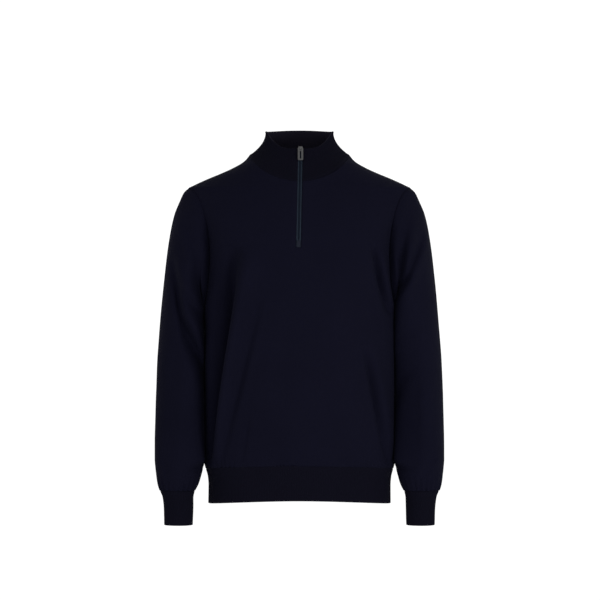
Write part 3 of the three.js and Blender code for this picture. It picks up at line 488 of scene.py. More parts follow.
def bodyRows(isFront):
    # The grid's rows by their height at the side and how far round they reach there: up the side
    # seam, round the armhole and up the shoulder. The rows inside follow a smoother edge.
    rows = []
    bottom = body["hemSeamSideZ"] + body["ease"]
    widest = 90 - panel["sideEase"]
    for k in range(panel["sideRows"]):
        z = lerp(bottom, body["underarmZ"] - body["ease"], k / panel["sideRows"])
        rows.append({"z": z, "edgeTurn": widest})
    for k in range(panel["armholeRows"] + 1):
        alpha = 180 - 180 * k / panel["armholeRows"]
        _, theta, z = armholeAt(alpha if isFront else 360 - alpha, body["ease"])
        rows.append({"z": z, "edgeTurn": min(theta if isFront else 180 - theta, widest)})
    for k in range(panel["shoulderRows"]):
        t = (k + 1) / panel["shoulderRows"]
        z = lerp(body["shoulderZ"] + body["ease"], -body["ease"], t)
        rows.append({"z": z, "edgeTurn": widest})
    spread = panel["smoothRows"]
    for key in ("z", "edgeTurn"):
        for j, row in enumerate(rows):
            near = min(spread, j, len(rows) - 1 - j)
            window = rows[j - near:j + near + 1]
            row[key + "Inside"] = sum(other[key] for other in window) / len(window)
    return rows


frontRows = bodyRows(True)
backRows = bodyRows(False)
slitRow = panel["sideRows"] + round(panel["slitFrom"] * panel["armholeRows"])


def neckShare(theta):
    # How far up the front's neckline is, from its lowest point to the sides
    aside = math.hypot(sinOf(theta), neckRound) - neckRound
    return aside / (math.hypot(1, neckRound) - neckRound)


def panelPlace(row, middleZ, step, counts, isFront):
    outer = max(step - counts["steady"], 0) / counts["outer"]
    close = outer ** panel["closing"]
    edgeTurn = lerp(row["edgeTurnInside"], row["edgeTurn"], close)
    z = lerp(row["zInside"], row["z"], close)
    steadyTurn = panel["steadyTurn"]
    turn = steadyTurn * step / counts["steady"]
    if outer > 0:
        turn = lerp(steadyTurn, edgeTurn, outer)
    evenTurn = turn * 90 / edgeTurn
    level = sinOf(evenTurn) ** 2
    nearNeck = smoothstep(row["z"], neckEaseZ, -body["ease"]) if isFront else 0
    return turn, lerp(middleZ, z, lerp(level, neckShare(evenTurn), nearNeck))


def hemGather(x, y, z):
    # Small upright gathers just above the hem band, uneven along it
    up = z - body["hemSeamSideZ"]
    if up > hemGathers["reach"]:
        return 0
    scale, fine = hemGathers["swingScale"], hemGathers["unevenScale"]
    swing = hemGathers["swing"] * noise.noise(Vector((x * scale, y * scale, 2)))
    along = math.atan2(x, -y) * hemGathers["radius"] + swing
    usual, varies = hemGathers["uneven"]
    uneven = usual + varies * noise.noise(Vector((x * fine, y * fine, 5)))
    wave = math.sin(2 * math.pi * along / hemGathers["spacing"]) * uneven
    low = 1 - smoothstep(up, hemGathers["fullBelow"], hemGathers["reach"])
    return hemGathers["height"] * wave * low ** hemGathers["fade"]


def drapedBody(theta, z, onEdge):
    point = bodyPoint(theta, z)
    gather = 0 if onEdge else hemGather(point.x, point.y, z)
    return point + outwardFrom(point) * gather


def makeFront():
    counts = panel["front"]
    perSide = counts["steady"] + counts["outer"]
    columns = 2 * perSide + 1
    rows = frontRows
    seamTop = body["neckFrontZ"] - body["ease"]
    seamBottom = body["hemSeamFrontZ"] + body["ease"]

    def middleZ(j):
        if j <= slitRow:
            return lerp(seamBottom, zipSizes["bottomZ"], j / slitRow)
        return lerp(zipSizes["bottomZ"], seamTop, (j - slitRow) / (len(rows) - 1 - slitRow))

    def place(i, j):
        side = -1 if i <= perSide else 1
        step = perSide - i if side < 0 else i - perSide - 1
        turn, z = panelPlace(rows[j], middleZ(j), step, counts, True)
        inwards = 1 - step / perSide
        slit = (side * zipSizes["slitHalf"] * inwards + zipX(z) * inwards ** 2) / halfWidthAt(z)
        point = drapedBody(side * turn + math.degrees(slit), z, step == perSide)
        if j >= slitRow and step < len(turnedEdge):
            point.y += turnedEdge[step]
        return point

    def cutSlit(bm):
        slit = []
        for face in bm.faces:
            middle = face.calc_center_median() / mm
            aside = abs(middle.x - zipX(middle.z))
            if middle.z > zipSizes["bottomZ"] and aside < 0.4 * zipSizes["slitHalf"]:
                slit.append(face)
        bmesh.ops.delete(bm, geom=slit, context="FACES")

    obj = gridMesh("frontPanel", columns, len(rows) - 1, place, trim=cutSlit)
    return giveThickness(obj, body["thickness"])


def makeBack():
    counts = panel["back"]
    perSide = counts["steady"] + counts["outer"]
    rows = backRows
    seamBottom = body["hemSeamSideZ"] + body["ease"]
    seamTop = body["neckBackZ"] - body["ease"]

    def place(i, j):
        side = 1 if i > perSide else -1
        step = abs(i - perSide)
        middleZ = lerp(seamBottom, seamTop, j / (len(rows) - 1))
        turn, z = panelPlace(rows[j], middleZ, step, counts, False)
        return drapedBody(side * (180 - turn), z, step == perSide)

    obj = gridMesh("backPanel", 2 * perSide, len(rows) - 1, place, flip=True)
    return giveThickness(obj, body["thickness"])


frontPanel = makeFront()
backPanel = makeBack()
print("front and back made")


# Sleeves: sections from their inner line to their outer one, the first being the armhole

sleeve = {
    "columns": 96,
    "armholeReach": 75,
    "gatherReach": 48,
    "gatherHeight": 2.6,
    "gathers": 22,
    "gatherFade": 1.4,
    "gatherUneven": (0.6, 0.8, 0.02),  # usual share of the height, how far it varies, scale
    "gatherSwing": (5, 0.03),  # degrees that they stray round the sleeve, scale
    "rowLength": 3.6,
    "foldsFade": (0.05, 0.5),  # folds fade out at the sleeve's inner and outer lines
    "foldsFrom": (6, 45),  # and set in between these distances down it, as the slack does
    "slack": 0.8,
    "slackRadius": 60,
    "slackFrom": (5, 60),
    "dipFadeZ": (-180, -90),
    "sections": named(
        "xIn zIn xOut zOut yMid halfDepth",
        (188, -300, 218.5, -63, 2, 72),
        (191.6, -301.6, 226, -69.5, 2, 72),
        (193.6, -304.6, 236, -90, 3, 72),
        (194.4, -309, 245.5, -113, 4, 71),
        (194.5, -315, 253, -145, 5, 70),
        (194.3, -323, 259.5, -187, 6, 68),
        (193.8, -333, 264.5, -230, 7, 66),
        (193, -346, 269, -272, 8, 64),
        (192.3, -364, 273, -314, 9, 62),
        (191.6, -388, 276.5, -358, 9, 60),
        (191, -417, 279.5, -402, 7, 57),
        (190.4, -449, 281, -444, 3, 54),
        (190, -484, 282, -484, -4, 51),
        (189.6, -524, 282.5, -524, -12, 48),
        (189.3, -562, 283, -562, -20, 45),
        (189.3, -592, 283, -592, -26, 43),
        (190.5, -612, 281.5, -611, -30, 41),
        (194.5, -628, 279, -627.5, -33, 38.5),
        (199.5, -642, 276, -642, -35.5, 35),
        (206, -654, 272, -654, -38, 31),
    ),
}
cuff = {
    "ribs": 60,
    "perRib": 6,
    "thickness": 2.4,
    "ribHeight": 0.6,
    "outerRows": 22,
    "innerRows": 8,
    "ribFade": (0, 3),
    "wobble": 0.5,
    "sections": named(
        "xIn zIn xOut zOut yMid halfDepth",
        (206.4, -654, 271.6, -654, -38, 30.5),
        (209.2, -668, 266, -668, -41, 28),
        (209.4, -690, 263.4, -690, -45.5, 27),
        (210.2, -721, 262.4, -721, -51.6, 26.5),
    ),
}


def tubeShape(sections):
    # The sections as smooth functions of the distance down the arm, and that distance's end
    down = 0
    rows = []
    for i, row in enumerate(sections):
        last = sections[max(i - 1, 0)]
        stepX = (row["xIn"] + row["xOut"] - last["xIn"] - last["xOut"]) / 2
        stepZ = (row["zIn"] + row["zOut"] - last["zIn"] - last["zOut"]) / 2
        down += math.sqrt(stepX ** 2 + stepZ ** 2 + (row["yMid"] - last["yMid"]) ** 2)
        rows.append({**row, "down": down})
    return {key: smoothColumn(rows, "down", key) for key in sections[0]}, down


sleeveAt, sleeveLength = tubeShape(sleeve["sections"])
cuffAt, cuffLength = tubeShape(cuff["sections"])


def tubePoint(at, alpha, down):
    share = (1 + cosOf(alpha)) / 2
    return Vector((
        lerp(at["xIn"](down), at["xOut"](down), share),
        at["yMid"](down) - at["halfDepth"](down) * sinOf(alpha),
        lerp(at["zIn"](down), at["zOut"](down), share),
    ))


def tubeMiddle(at, down):
    return tubePoint(at, 0, down).lerp(tubePoint(at, 180, down), 0.5)


# The sleeve's inner side lies along the body's side. Clearance is between the middles of their
# walls, tuck is how far the sleeve comes in front of the body's widest line, turns are from the
# sleeve's inner line, and the last four are distances down the sleeve or up from its end.
armRest = {
    "clearance": 2.9,
    "tuck": 0.5,
    "fullTurn": 42,
    "endTurn": 85,
    "startDown": 3,
    "fullDown": 25,
    "leaveUp": 62,
    "endUp": 44,
}


def restX(y, z):
    n = squareAt(z)
    depth = frontDepthAt(z) if y < 0 else backDepthAt(z)
    inside = max(1 - (abs(y) / depth) ** n, 0)
    bodyX = halfWidthAt(z) * inside ** (1 / n)
    return max(bodyX + armRest["clearance"], halfWidthAt(z) - armRest["tuck"])


def restShare(alpha, down):
    inner = 1 - smoothstep(abs(alpha - 180), armRest["fullTurn"], armRest["endTurn"])
    left = 1 - smoothstep(down, sleeveLength - armRest["leaveUp"], sleeveLength - armRest["endUp"])
    return inner * left * smoothstep(down, armRest["startDown"], armRest["fullDown"])


def sleevePoint(folds, seed, alpha, down):
    s, c = sinOf(alpha), cosOf(alpha)
    point = tubePoint(sleeveAt, alpha, down)
    seam, pull = armholePoint(alpha)
    kept = 1 - smoothstep(down, 0, sleeve["armholeReach"])
    point += (seam - tubePoint(sleeveAt, alpha, 0)) * kept
    onFace = [fold for fold in folds if fold["face"] * s > 0]
    facing = smoothstep(abs(s), *sleeve["foldsFade"]) * smoothstep(down, *sleeve["foldsFrom"])
    point.y += math.copysign(1, s) * foldDrop(onFace, point.x, point.z) * facing
    far = (point - seam).length
    point.y += pull * bell(far, body["sleeveCreaseWidth"], body["creasePower"])
    outward = (point - tubeMiddle(sleeveAt, down)).normalized()
    radius = sleeve["slackRadius"]
    slack = drapeNoise(radius * s, radius * c + down, seed) * smoothstep(down, *sleeve["slackFrom"])
    dip = body["seamDip"] * bell(far, body["seamReach"]) * (1 - smoothstep(seam.z, *sleeve["dipFadeZ"]))
    point += outward * (sleeve["slack"] * slack - dip)
    nearCuff = smoothstep(down, sleeveLength - sleeve["gatherReach"], sleeveLength)
    if nearCuff > 0:
        usual, varies, scale = sleeve["gatherUneven"]
        uneven = usual + varies * noise.noise(Vector((alpha * scale, seed, 1)))
        stray, strayScale = sleeve["gatherSwing"]
        swing = alpha + stray * noise.noise(Vector((alpha * strayScale, seed, 4)))
        wave = sleeve["gatherHeight"] * sinOf(sleeve["gathers"] * swing) * uneven
        point += outward * wave * nearCuff ** sleeve["gatherFade"]
    point.x = lerp(point.x, restX(point.y, point.z), restShare(alpha, down))
    return point


def makeSleeve(name, side, folds):
    rows = round(sleeveLength / sleeve["rowLength"])
    columns = sleeve["columns"]
    end = sleeveLength - 2 * body["ease"]

    def place(i, j):
        alpha = 180 + 360 * (i % columns) / columns
        down = max(end * (j / rows), 0.1)
        point = sleevePoint(folds, 20 + side, alpha % 360, down)
        point.x *= side
        return point

    obj = gridMesh(name, columns, rows, place, flip=side < 0, closed=True)
    return giveThickness(obj, body["thickness"])


leftSleeve = makeSleeve("leftSleeve", 1, leftSleeveFolds)
rightSleeve = makeSleeve("rightSleeve", -1, rightSleeveFolds)
print("sleeves made")


# Ribbed bands: the cuffs, the hem band and the collar, each with a rounded fold at its free edge

bandSeam = {
    "tuck": 1,  # each band starts this far inside the end of the cloth it is knitted to
    "sunk": 0.6,  # its outside there, and at the cloth's end, from the middle of the wall
    "flush": 0.95,
    "rise": 4,
    "calm": 10,
    "rowSpread": 1.7,  # more than 1 puts the rows closer together at the seam
    "foldRows": 6,
    "ribPower": 0.75,
    "insideRibs": -0.4,
}


def bandSection(band):
    # Places round a band's cross-section: its share of the way from the seam to the fold, how far
    # past that share it is, and how far out
    half = band["thickness"] / 2
    outerRows, innerRows, foldRows = band["outerRows"], band["innerRows"], bandSeam["foldRows"]
    section = [((k / outerRows) ** bandSeam["rowSpread"], 0, half) for k in range(outerRows + 1)]
    for k in range(1, foldRows):
        turn = math.pi * k / foldRows
        section.append((1, half * math.sin(turn), half * math.cos(turn)))
    section += [(1 - k / innerRows, 0, -half) for k in range(innerRows + 1)]
    return section


def bandHeight(band, i, out, fromSeam, wave, ribShare=1):
    # How far out a place is, with its ribs and a little unevenness. Both set in from the seam,
    # where the outside is let down so that it comes out flush with the cloth.
    half = band["thickness"] / 2
    ribs = band["ribHeight"] * sinOf(180 * (i % band["perRib"]) / band["perRib"]) ** bandSeam["ribPower"]
    ribs *= ribShare * clamp(out / half, bandSeam["insideRibs"]) * smoothstep(fromSeam, *band["ribFade"])
    wobble = band["wobble"] * wave * smoothstep(fromSeam, 0, bandSeam["calm"])
    if out < 0:
        return out + ribs + wobble
    seamDrop = (half - bandSeam["flush"]) * (1 - smoothstep(fromSeam, 0, bandSeam["rise"]))
    return out + ribs + wobble - (half - bandSeam["sunk"] if fromSeam < 0 else seamDrop)


def makeCuff(name, side):
    columns = cuff["ribs"] * cuff["perRib"]
    length = cuffLength + bandSeam["tuck"] - cuff["thickness"] / 2
    section = bandSection(cuff)
    rows = len(section)

    def place(i, j):
        share, past, out = section[j % rows]
        down = share * length + past - bandSeam["tuck"]
        alpha = 180 + 360 * (i % columns) / columns
        point = tubePoint(cuffAt, alpha % 360, down)
        outward = (point - tubeMiddle(cuffAt, down)).normalized()
        wave = noise.noise(Vector((alpha * 0.02, down * 0.03, side * 3)))
        point += outward * bandHeight(cuff, i, out, down, wave)
        point.x *= side
        return point

    return gridMesh(name, columns, rows, place, flip=side < 0, closed=True)


leftCuff = makeCuff("leftCuff", 1)
rightCuff = makeCuff("rightCuff", -1)

hem = {
    "frontZ": -671,
    "sideZ": -681,
    "ribs": 288,
    "perRib": 6,
    "thickness": 2.6,
    "ribHeight": 0.6,
    "outerRows": 14,
    "innerRows": 5,
    "ribFade": (0, 4),
    "wobble": 0.7,
    "girthZ": -640,  # the ribs are spaced evenly round the body at this height
}


def ringAngles(pointAt, count):
    # Turns that divide a closed ring into equal lengths, from -180
    samples = 1440
    lengths = [0]
    for k in range(samples):
        a, b = pointAt(-180 + 360 * k / samples), pointAt(-180 + 360 * (k + 1) / samples)
        lengths.append(lengths[-1] + (b - a).length)
    angles, k = [], 0
    for n in range(count + 1):
        wanted = lengths[-1] * n / count
        while k < samples - 1 and lengths[k + 1] < wanted:
            k += 1
        share = (wanted - lengths[k]) / (lengths[k + 1] - lengths[k])
        angles.append(-180 + 360 * (k + clamp(share)) / samples)
    return angles


def surfaceNormal(surface, theta, level, step):
    # Outward direction on the wearer's left, mirrored for the right
    turn, turnStep = abs(theta), 0.5
    acrossWay = surface(turn + turnStep, level) - surface(turn - turnStep, level)
    upWay = surface(turn, level + step) - surface(turn, level - step)
    normal = acrossWay.cross(upWay).normalized()
    normal.x *= -1 if theta < 0 else 1
    return normal


def makeHemBand():
    columns = hem["ribs"] * hem["perRib"]
    angles = ringAngles(lambda theta: ringPoint(theta, hem["girthZ"]), columns)
    section = bandSection(hem)
    rows = len(section)

    def place(i, j):
        theta = angles[i % columns]
        towardsSide = sinOf(theta) ** 2 if abs(theta) < 90 else 1
        seamZ = lerp(body["hemSeamFrontZ"], body["hemSeamSideZ"], towardsSide)
        bottom = lerp(hem["frontZ"], hem["sideZ"], towardsSide)
        share, past, out = section[j % rows]
        z = lerp(seamZ + bandSeam["tuck"], bottom + hem["thickness"] / 2, share) - past
        point = ringPoint(theta, z)
        outward = surfaceNormal(ringPoint, theta, z, 1)
        outward.z = 0
        wave = noise.noise(Vector((point.x * 0.02, point.y * 0.02, z * 0.012)))
        return point + outward.normalized() * bandHeight(hem, i, out, seamZ - z, wave)

    return gridMesh("hemBand", columns, rows, place, flip=True, closed=True)


hemBand = makeHemBand()
print("cuffs and hem band made")

collar = {
    "halfWidth": 65,
    "front": 62,
    "back": 60,
    "frontZ": 13.5,
    "sideZ": 50.5,
    "backZ": 55.5,
    "edgePowers": (3.5, 2),  # how late its top edge rises or falls to the sides, front and back
    "flare": (1.3, 2.15),  # how fast it leaves the shoulders, at the front and at the sides
    "ribs": 152,
    "perRib": 6,
    "thickness": 3,
    "ribHeight": 0.55,
    "outerRows": 26,
    "innerRows": 12,
    "ribFade": (0.5, 5),
    "wobble": 0.5,
    "height": 60,  # about, from its seam to its top edge
    "seamRidge": {"height": 0.7, "at": 3, "width": 1.6},
    "topRidge": {"height": 0.8, "from": (0.93, 0.99)},
    "zipPlain": (1.5, 3.5),  # no ribs beside the zip, in ribs from it
    "zipTurned": {"depth": 0.8, "width": 0.5},  # where the end turns in at the zip
}


def neckSeamZ(theta):
    if abs(theta) < 90:
        return lerp(body["neckFrontZ"], 0, neckShare(theta))
    return lerp(body["neckBackZ"], 0, sinOf(theta) ** 2)


def collarEdgeZ(theta):
    side = abs(sinOf(theta))
    frontPower, backPower = collar["edgePowers"]
    if abs(theta) < 90:
        return lerp(collar["frontZ"], collar["sideZ"], side ** frontPower)
    return lerp(collar["backZ"], collar["sideZ"], side ** backPower)


def collarFlare(theta, level):
    return max(1 - level, 0) ** lerp(*collar["flare"], sinOf(theta) ** 2)


def collarPoint(theta, level):
    # Level 0 is the seam with the body, and level 1 the folded top edge
    s, c = sinOf(theta), cosOf(theta)
    seam = ringPoint(theta, neckSeamZ(theta))
    depth = collar["front"] if c > 0 else collar["back"]
    top = Vector((collar["halfWidth"] * s, -depth * c, collarEdgeZ(theta)))
    point = top.lerp(seam, collarFlare(theta, level))
    point.z = lerp(seam.z, top.z, level)
    return point


def collarNormal(theta, level):
    edge = 0.02
    return surfaceNormal(collarPoint, theta, clamp(level, edge, 1 - edge), edge)


def collarTurnAt(x, level):
    reach = lerp(collar["halfWidth"], halfWidthAt(body["neckFrontZ"]), collarFlare(0, level))
    return math.degrees(math.asin(x / reach))


def makeCollar():
    columns = collar["ribs"] * collar["perRib"]
    around = [angle + 180 for angle in ringAngles(lambda theta: collarPoint(theta, 0.5), columns)]
    section = bandSection(collar)
    rows = len(section)
    seamRidge, topRidge, zipTurned = collar["seamRidge"], collar["topRidge"], collar["zipTurned"]

    def place(i, j):
        share, past, out = section[j % rows]
        level = lerp(-bandSeam["tuck"] / collar["height"], 1, share)
        x = zipX(lerp(body["neckFrontZ"], collar["frontZ"], level))
        start = collarTurnAt(x + zipSizes["slitHalf"], level)
        end = 360 + collarTurnAt(x - zipSizes["slitHalf"], level)
        theta = lerp(start, end, around[i] / 360)
        theta = theta - 360 if theta > 180 else theta
        point = collarPoint(theta, level)
        point.z += past - level * collar["thickness"] / 2
        fromSeam = level * collar["height"]
        fromZip = min(i, columns - i) / collar["perRib"]
        wave, ribShare = noise.noise(point * 0.03), smoothstep(fromZip, *collar["zipPlain"])
        height = bandHeight(collar, i, out, fromSeam, wave, ribShare)
        if out > 0:
            height += seamRidge["height"] * bell(fromSeam - seamRidge["at"], seamRidge["width"])
            height += topRidge["height"] * smoothstep(level, *topRidge["from"])
            height -= zipTurned["depth"] * bell(fromZip, zipTurned["width"])
        return point + collarNormal(theta, level) * height

    return gridMesh("collarBand", columns, rows, place, closed=True, trim=capEnds)


collarBand = makeCollar()
print("collar made")


# The zip: tapes, teeth, slider, pull tab and the stop at its lower end

def zipPlace(aside, z):
    # A place on the middle of the front's or collar's wall, and the outward direction there
    x = zipX(z) + aside
    level = (z - body["neckFrontZ"]) / (collar["frontZ"] - body["neckFrontZ"])
    if level > 0:
        inside = min(level, 1)
        theta = collarTurnAt(x, inside)
        point = collarPoint(theta, inside)
        point.z = z
        return point, collarNormal(theta, inside)
    theta = math.degrees(math.asin(x / halfWidthAt(z)))
    return bodyPoint(theta, z), surfaceNormal(ringPoint, theta, z, 4)


# In all of these, lift is how far the middle stands out from the middle of the cloth
tape = {
    "inner": 0.1,
    "outer": 12,
    "bottomZ": -189.5,
    "topZ": 12.6,
    "thickness": 0.8,
    "lift": -2.3,
    "columns": 8,
    "rows": 90,
}
cord = {
    "bottomZ": -179.5,
    "topZ": 8.5,
    "asideBottom": 2.5,
    "asideTop": 3.9,
    "halfWidth": 0.75,
    "halfDepth": 0.55,
    "lift": -1.35,
    "stitch": 0.12,  # every other row is wider by this share, and the rest narrower
    "columns": 10,
    "rows": 110,
}
teeth = {
    "bottomZ": -166.2,
    "topZ": 8,
    "pitch": 1.55,
    "aside": 0.55,
    "lift": -0.55,
    "size": (3.4, 1.05, 1.5),
    "bevel": 0.32,
}
stop = {
    "bottomZ": -179.3,
    "topZ": -167.6,
    "bars": 11,
    "bottomWidth": 7.7,
    "topWidth": 6.6,
    "height": 1.5,
    "depth": 1.7,
    "bevel": 0.5,
    "lift": -0.25,
}


def makeTape(name, side):
    columns, rows = tape["columns"], tape["rows"]

    def place(i, j):
        aside = lerp(tape["inner"], tape["outer"], i / columns) * side
        point, normal = zipPlace(aside, lerp(tape["bottomZ"], tape["topZ"], j / rows))
        return point + normal * tape["lift"]

    return giveThickness(gridMesh(name, columns, rows, place, flip=side < 0), tape["thickness"])


leftTape = makeTape("leftTape", 1)
rightTape = makeTape("rightTape", -1)


def bevelParts(bm, geom, offset, segments, affect="EDGES"):
    bmesh.ops.bevel(
        bm, geom=geom, offset=offset * mm, affect=affect, segments=segments, profile=0.5, material=-1
    )


def addBox(bm, size):
    made = bmesh.ops.create_cube(bm, size=1)["verts"]
    bmesh.ops.scale(bm, vec=Vector(size) * mm, verts=made)
    return made


def addBlock(bm, size, matrix, bevel, segments=1):
    # A box with rounded edges, put in place by a matrix
    before = set(bm.verts)
    edges = {edge for vert in addBox(bm, size) for edge in vert.link_edges}
    bevelParts(bm, list(edges), bevel, segments)
    block = [vert for vert in bm.verts if vert not in before]
    bmesh.ops.transform(bm, matrix=matrix, verts=block)


def zipFrameAt(aside, z, lift):
    # Local axes on the zip: across it, along it and out of it
    point, normal = zipPlace(aside, z)
    above, _ = zipPlace(aside, z + 1)
    along = (above - point).normalized()
    acrossWay = along.cross(normal).normalized()
    outWay = acrossWay.cross(along).normalized()
    place = (point + outWay * lift) * mm
    turn = Matrix((acrossWay, along, outWay)).transposed().to_4x4()
    return Matrix.Translation(place) @ turn


def makeTeeth():
    bm = bmesh.new()
    count = int((teeth["topZ"] - teeth["bottomZ"]) / teeth["pitch"])
    for k in range(count + 1):
        aside = teeth["aside"] * (1 if k % 2 else -1)
        matrix = zipFrameAt(aside, teeth["bottomZ"] + k * teeth["pitch"], teeth["lift"])
        addBlock(bm, teeth["size"], matrix, teeth["bevel"])
    return finishMesh("zipTeeth", bm, smooth=True)


zipTeeth = makeTeeth()


def makeTapeCord(name, side):
    # The thicker sewn edge of each tape, beside the teeth
    columns, rows = cord["columns"], cord["rows"]

    def place(i, j):
        up = j / rows
        aside = side * lerp(cord["asideBottom"], cord["asideTop"], up)
        point, normal = zipPlace(aside, lerp(cord["bottomZ"], cord["topZ"], up))
        turn = 2 * math.pi * (i % columns) / columns
        stitch = 1 + cord["stitch"] * (1 if j % 2 else -1)
        point.x += cord["halfWidth"] * math.cos(turn) * stitch
        return point + normal * (cord["halfDepth"] * math.sin(turn) + cord["lift"])

    def closeUp(bm):
        capEnds(bm)
        bmesh.ops.recalc_face_normals(bm, faces=bm.faces)

    return gridMesh(name, columns, rows, place, closed=True, trim=closeUp)


leftTapeCord = makeTapeCord("leftTapeCord", 1)
rightTapeCord = makeTapeCord("rightTapeCord", -1)


def makeStop():
    # A close bar of stitches across the lower end
    bm = bmesh.new()
    for k in range(stop["bars"]):
        up = k / (stop["bars"] - 1)
        matrix = zipFrameAt(0, lerp(stop["bottomZ"], stop["topZ"], up), stop["lift"])
        size = (lerp(stop["bottomWidth"], stop["topWidth"], up), stop["height"], stop["depth"])
        addBlock(bm, size, matrix, stop["bevel"], 2)
    return finishMesh("zipStop", bm, smooth=True)


zipStop = makeStop()

hingeAt = Vector(frame["record"]["behaviour"]["joints"][0]["pos_m"])
slider = {
    "width": 9.2,
    "bottomZ": 8.6,
    "topZ": 17.6,
    "depth": 3.6,
    "middleY": -63.9,
    "bevel": 0.55,
    "soften": 0.18,
    # its share at the low end, how far up that goes, its share at the top, and from how far up
    "widthTaper": (0.72, 0.55, 0.86, 0.55),
    "depthTaper": (0.86, 0.4, 0.9, 0.7),
}
bridge = {"width": 1.8, "hole": 1.5, "rim": 1.0, "turns": 20}
pull = {
    "width": 10.6,
    "length": 24.5,
    "top": 0.9,
    "slot": 2.7,
    "slotTop": -0.8,
    "rail": 3,
    "thickness": 1.6,
    "lean": 20,
    "lowRound": 2,
    "highRound": 1,
    "bevel": 0.3,
}


def taper(up, lowShare, lowEnd, topShare, topStart):
    return lerp(lowShare, 1, smoothstep(up, 0, lowEnd)) * lerp(1, topShare, smoothstep(up, topStart, 1))


def makeSlider():
    bm = bmesh.new()
    height = slider["topZ"] - slider["bottomZ"]
    addBox(bm, (slider["width"], slider["depth"], height))
    upright = [edge for edge in bm.edges if abs(edge.verts[0].co.z - edge.verts[1].co.z) > mm]
    bmesh.ops.subdivide_edges(bm, edges=upright, cuts=3)
    for vert in bm.verts:
        up = vert.co.z / (height * mm) + 0.5
        vert.co.x *= taper(up, *slider["widthTaper"])
        if vert.co.y < 0:
            vert.co.y *= taper(up, *slider["depthTaper"])
    sharp = [edge for edge in bm.edges if edge.calc_face_angle(0) > math.radians(40)]
    bevelParts(bm, sharp, slider["bevel"], 3)
    middle = Vector((hingeAt.x / mm, slider["middleY"], (slider["bottomZ"] + slider["topZ"]) / 2)) * mm
    bmesh.ops.translate(bm, vec=middle, verts=bm.verts)
    # the bridge, as the top face of a small box spun round the pull's hinge line
    radius = (bridge["hole"] + bridge["rim"] / 2) * mm
    box = addBox(bm, (bridge["width"], bridge["rim"], bridge["rim"]))
    bmesh.ops.translate(bm, vec=hingeAt + Vector((0, -radius, 0)), verts=box)
    faces = {face for vert in box for face in vert.link_faces}
    profile = max(faces, key=lambda face: face.normal.z)
    edges, verts = list(profile.edges), list(profile.verts)
    bmesh.ops.delete(bm, geom=list(faces - {profile}), context="FACES")
    bmesh.ops.translate(bm, vec=(0, 0, -bridge["rim"] / 2 * mm), verts=verts)
    bmesh.ops.spin(
        bm, geom=edges + verts, cent=hingeAt, axis=(1, 0, 0), angle=2 * math.pi,
        steps=bridge["turns"], use_merge=True,
    )
    bmesh.ops.delete(bm, geom=[profile], context="FACES_ONLY")
    bmesh.ops.remove_doubles(bm, verts=bm.verts, dist=mergeDistance)
    bmesh.ops.recalc_face_normals(bm, faces=bm.faces)
    obj = finishMesh("zipSlider", bm, smooth=True)
    soften = obj.modifiers.new("edges", "BEVEL")
    soften.width = slider["soften"] * mm
    soften.segments = 2
    soften.limit_method = "ANGLE"
    soften.angle_limit = math.radians(50)
    return obj


def makePull():
    # A long tab with a slot down it, hanging from the bridge by the bar at its top
    bm = bmesh.new()
    halfWidth, halfSlot = pull["width"] / 2, pull["slot"] / 2
    xs = [-halfWidth, -halfSlot, halfSlot, halfWidth]
    zs = [-pull["length"], -pull["length"] + pull["rail"], pull["slotTop"], pull["top"]]
    bmesh.ops.create_grid(bm, x_segments=3, y_segments=3, size=1.5)
    cells = {face: face.calc_center_median() for face in bm.faces}
    slot = [face for face, middle in cells.items() if middle.length < 0.1]
    for vert in bm.verts:
        i, j = round(vert.co.x + 1.5), round(vert.co.y + 1.5)
        vert.co = Vector((xs[i], 0, zs[j])) * mm
    bmesh.ops.delete(bm, geom=slot, context="FACES")
    corners = [vert for vert in bm.verts if len(vert.link_faces) == 1]
    low = [vert for vert in corners if vert.co.z < 0]
    high = [vert for vert in corners if vert.co.z > 0]
    bevelParts(bm, low, pull["lowRound"], 5, "VERTICES")
    bevelParts(bm, high, pull["highRound"], 3, "VERTICES")
    extruded = bmesh.ops.extrude_face_region(bm, geom=list(bm.faces))
    moved = [item for item in extruded["geom"] if isinstance(item, bmesh.types.BMVert)]
    bmesh.ops.translate(bm, vec=(0, pull["thickness"] * mm, 0), verts=moved)
    bmesh.ops.translate(bm, vec=(0, -pull["thickness"] / 2 * mm, 0), verts=bm.verts)
    bmesh.ops.recalc_face_normals(bm, faces=bm.faces)
    rims = [edge for edge in bm.edges if edge.calc_face_angle(0) > math.radians(60)]
    bevelParts(bm, rims, pull["bevel"], 3)
    lean = Matrix.Rotation(math.radians(-pull["lean"]), 3, "X")
    bmesh.ops.rotate(bm, cent=(0, 0, 0), matrix=lean, verts=bm.verts)
    bmesh.ops.translate(bm, vec=hingeAt, verts=bm.verts)
    return finishMesh("zipPullTab", bm, smooth=True)


zipSlider = makeSlider()
zipPullTab = makePull()
print("zip made")


# Materials

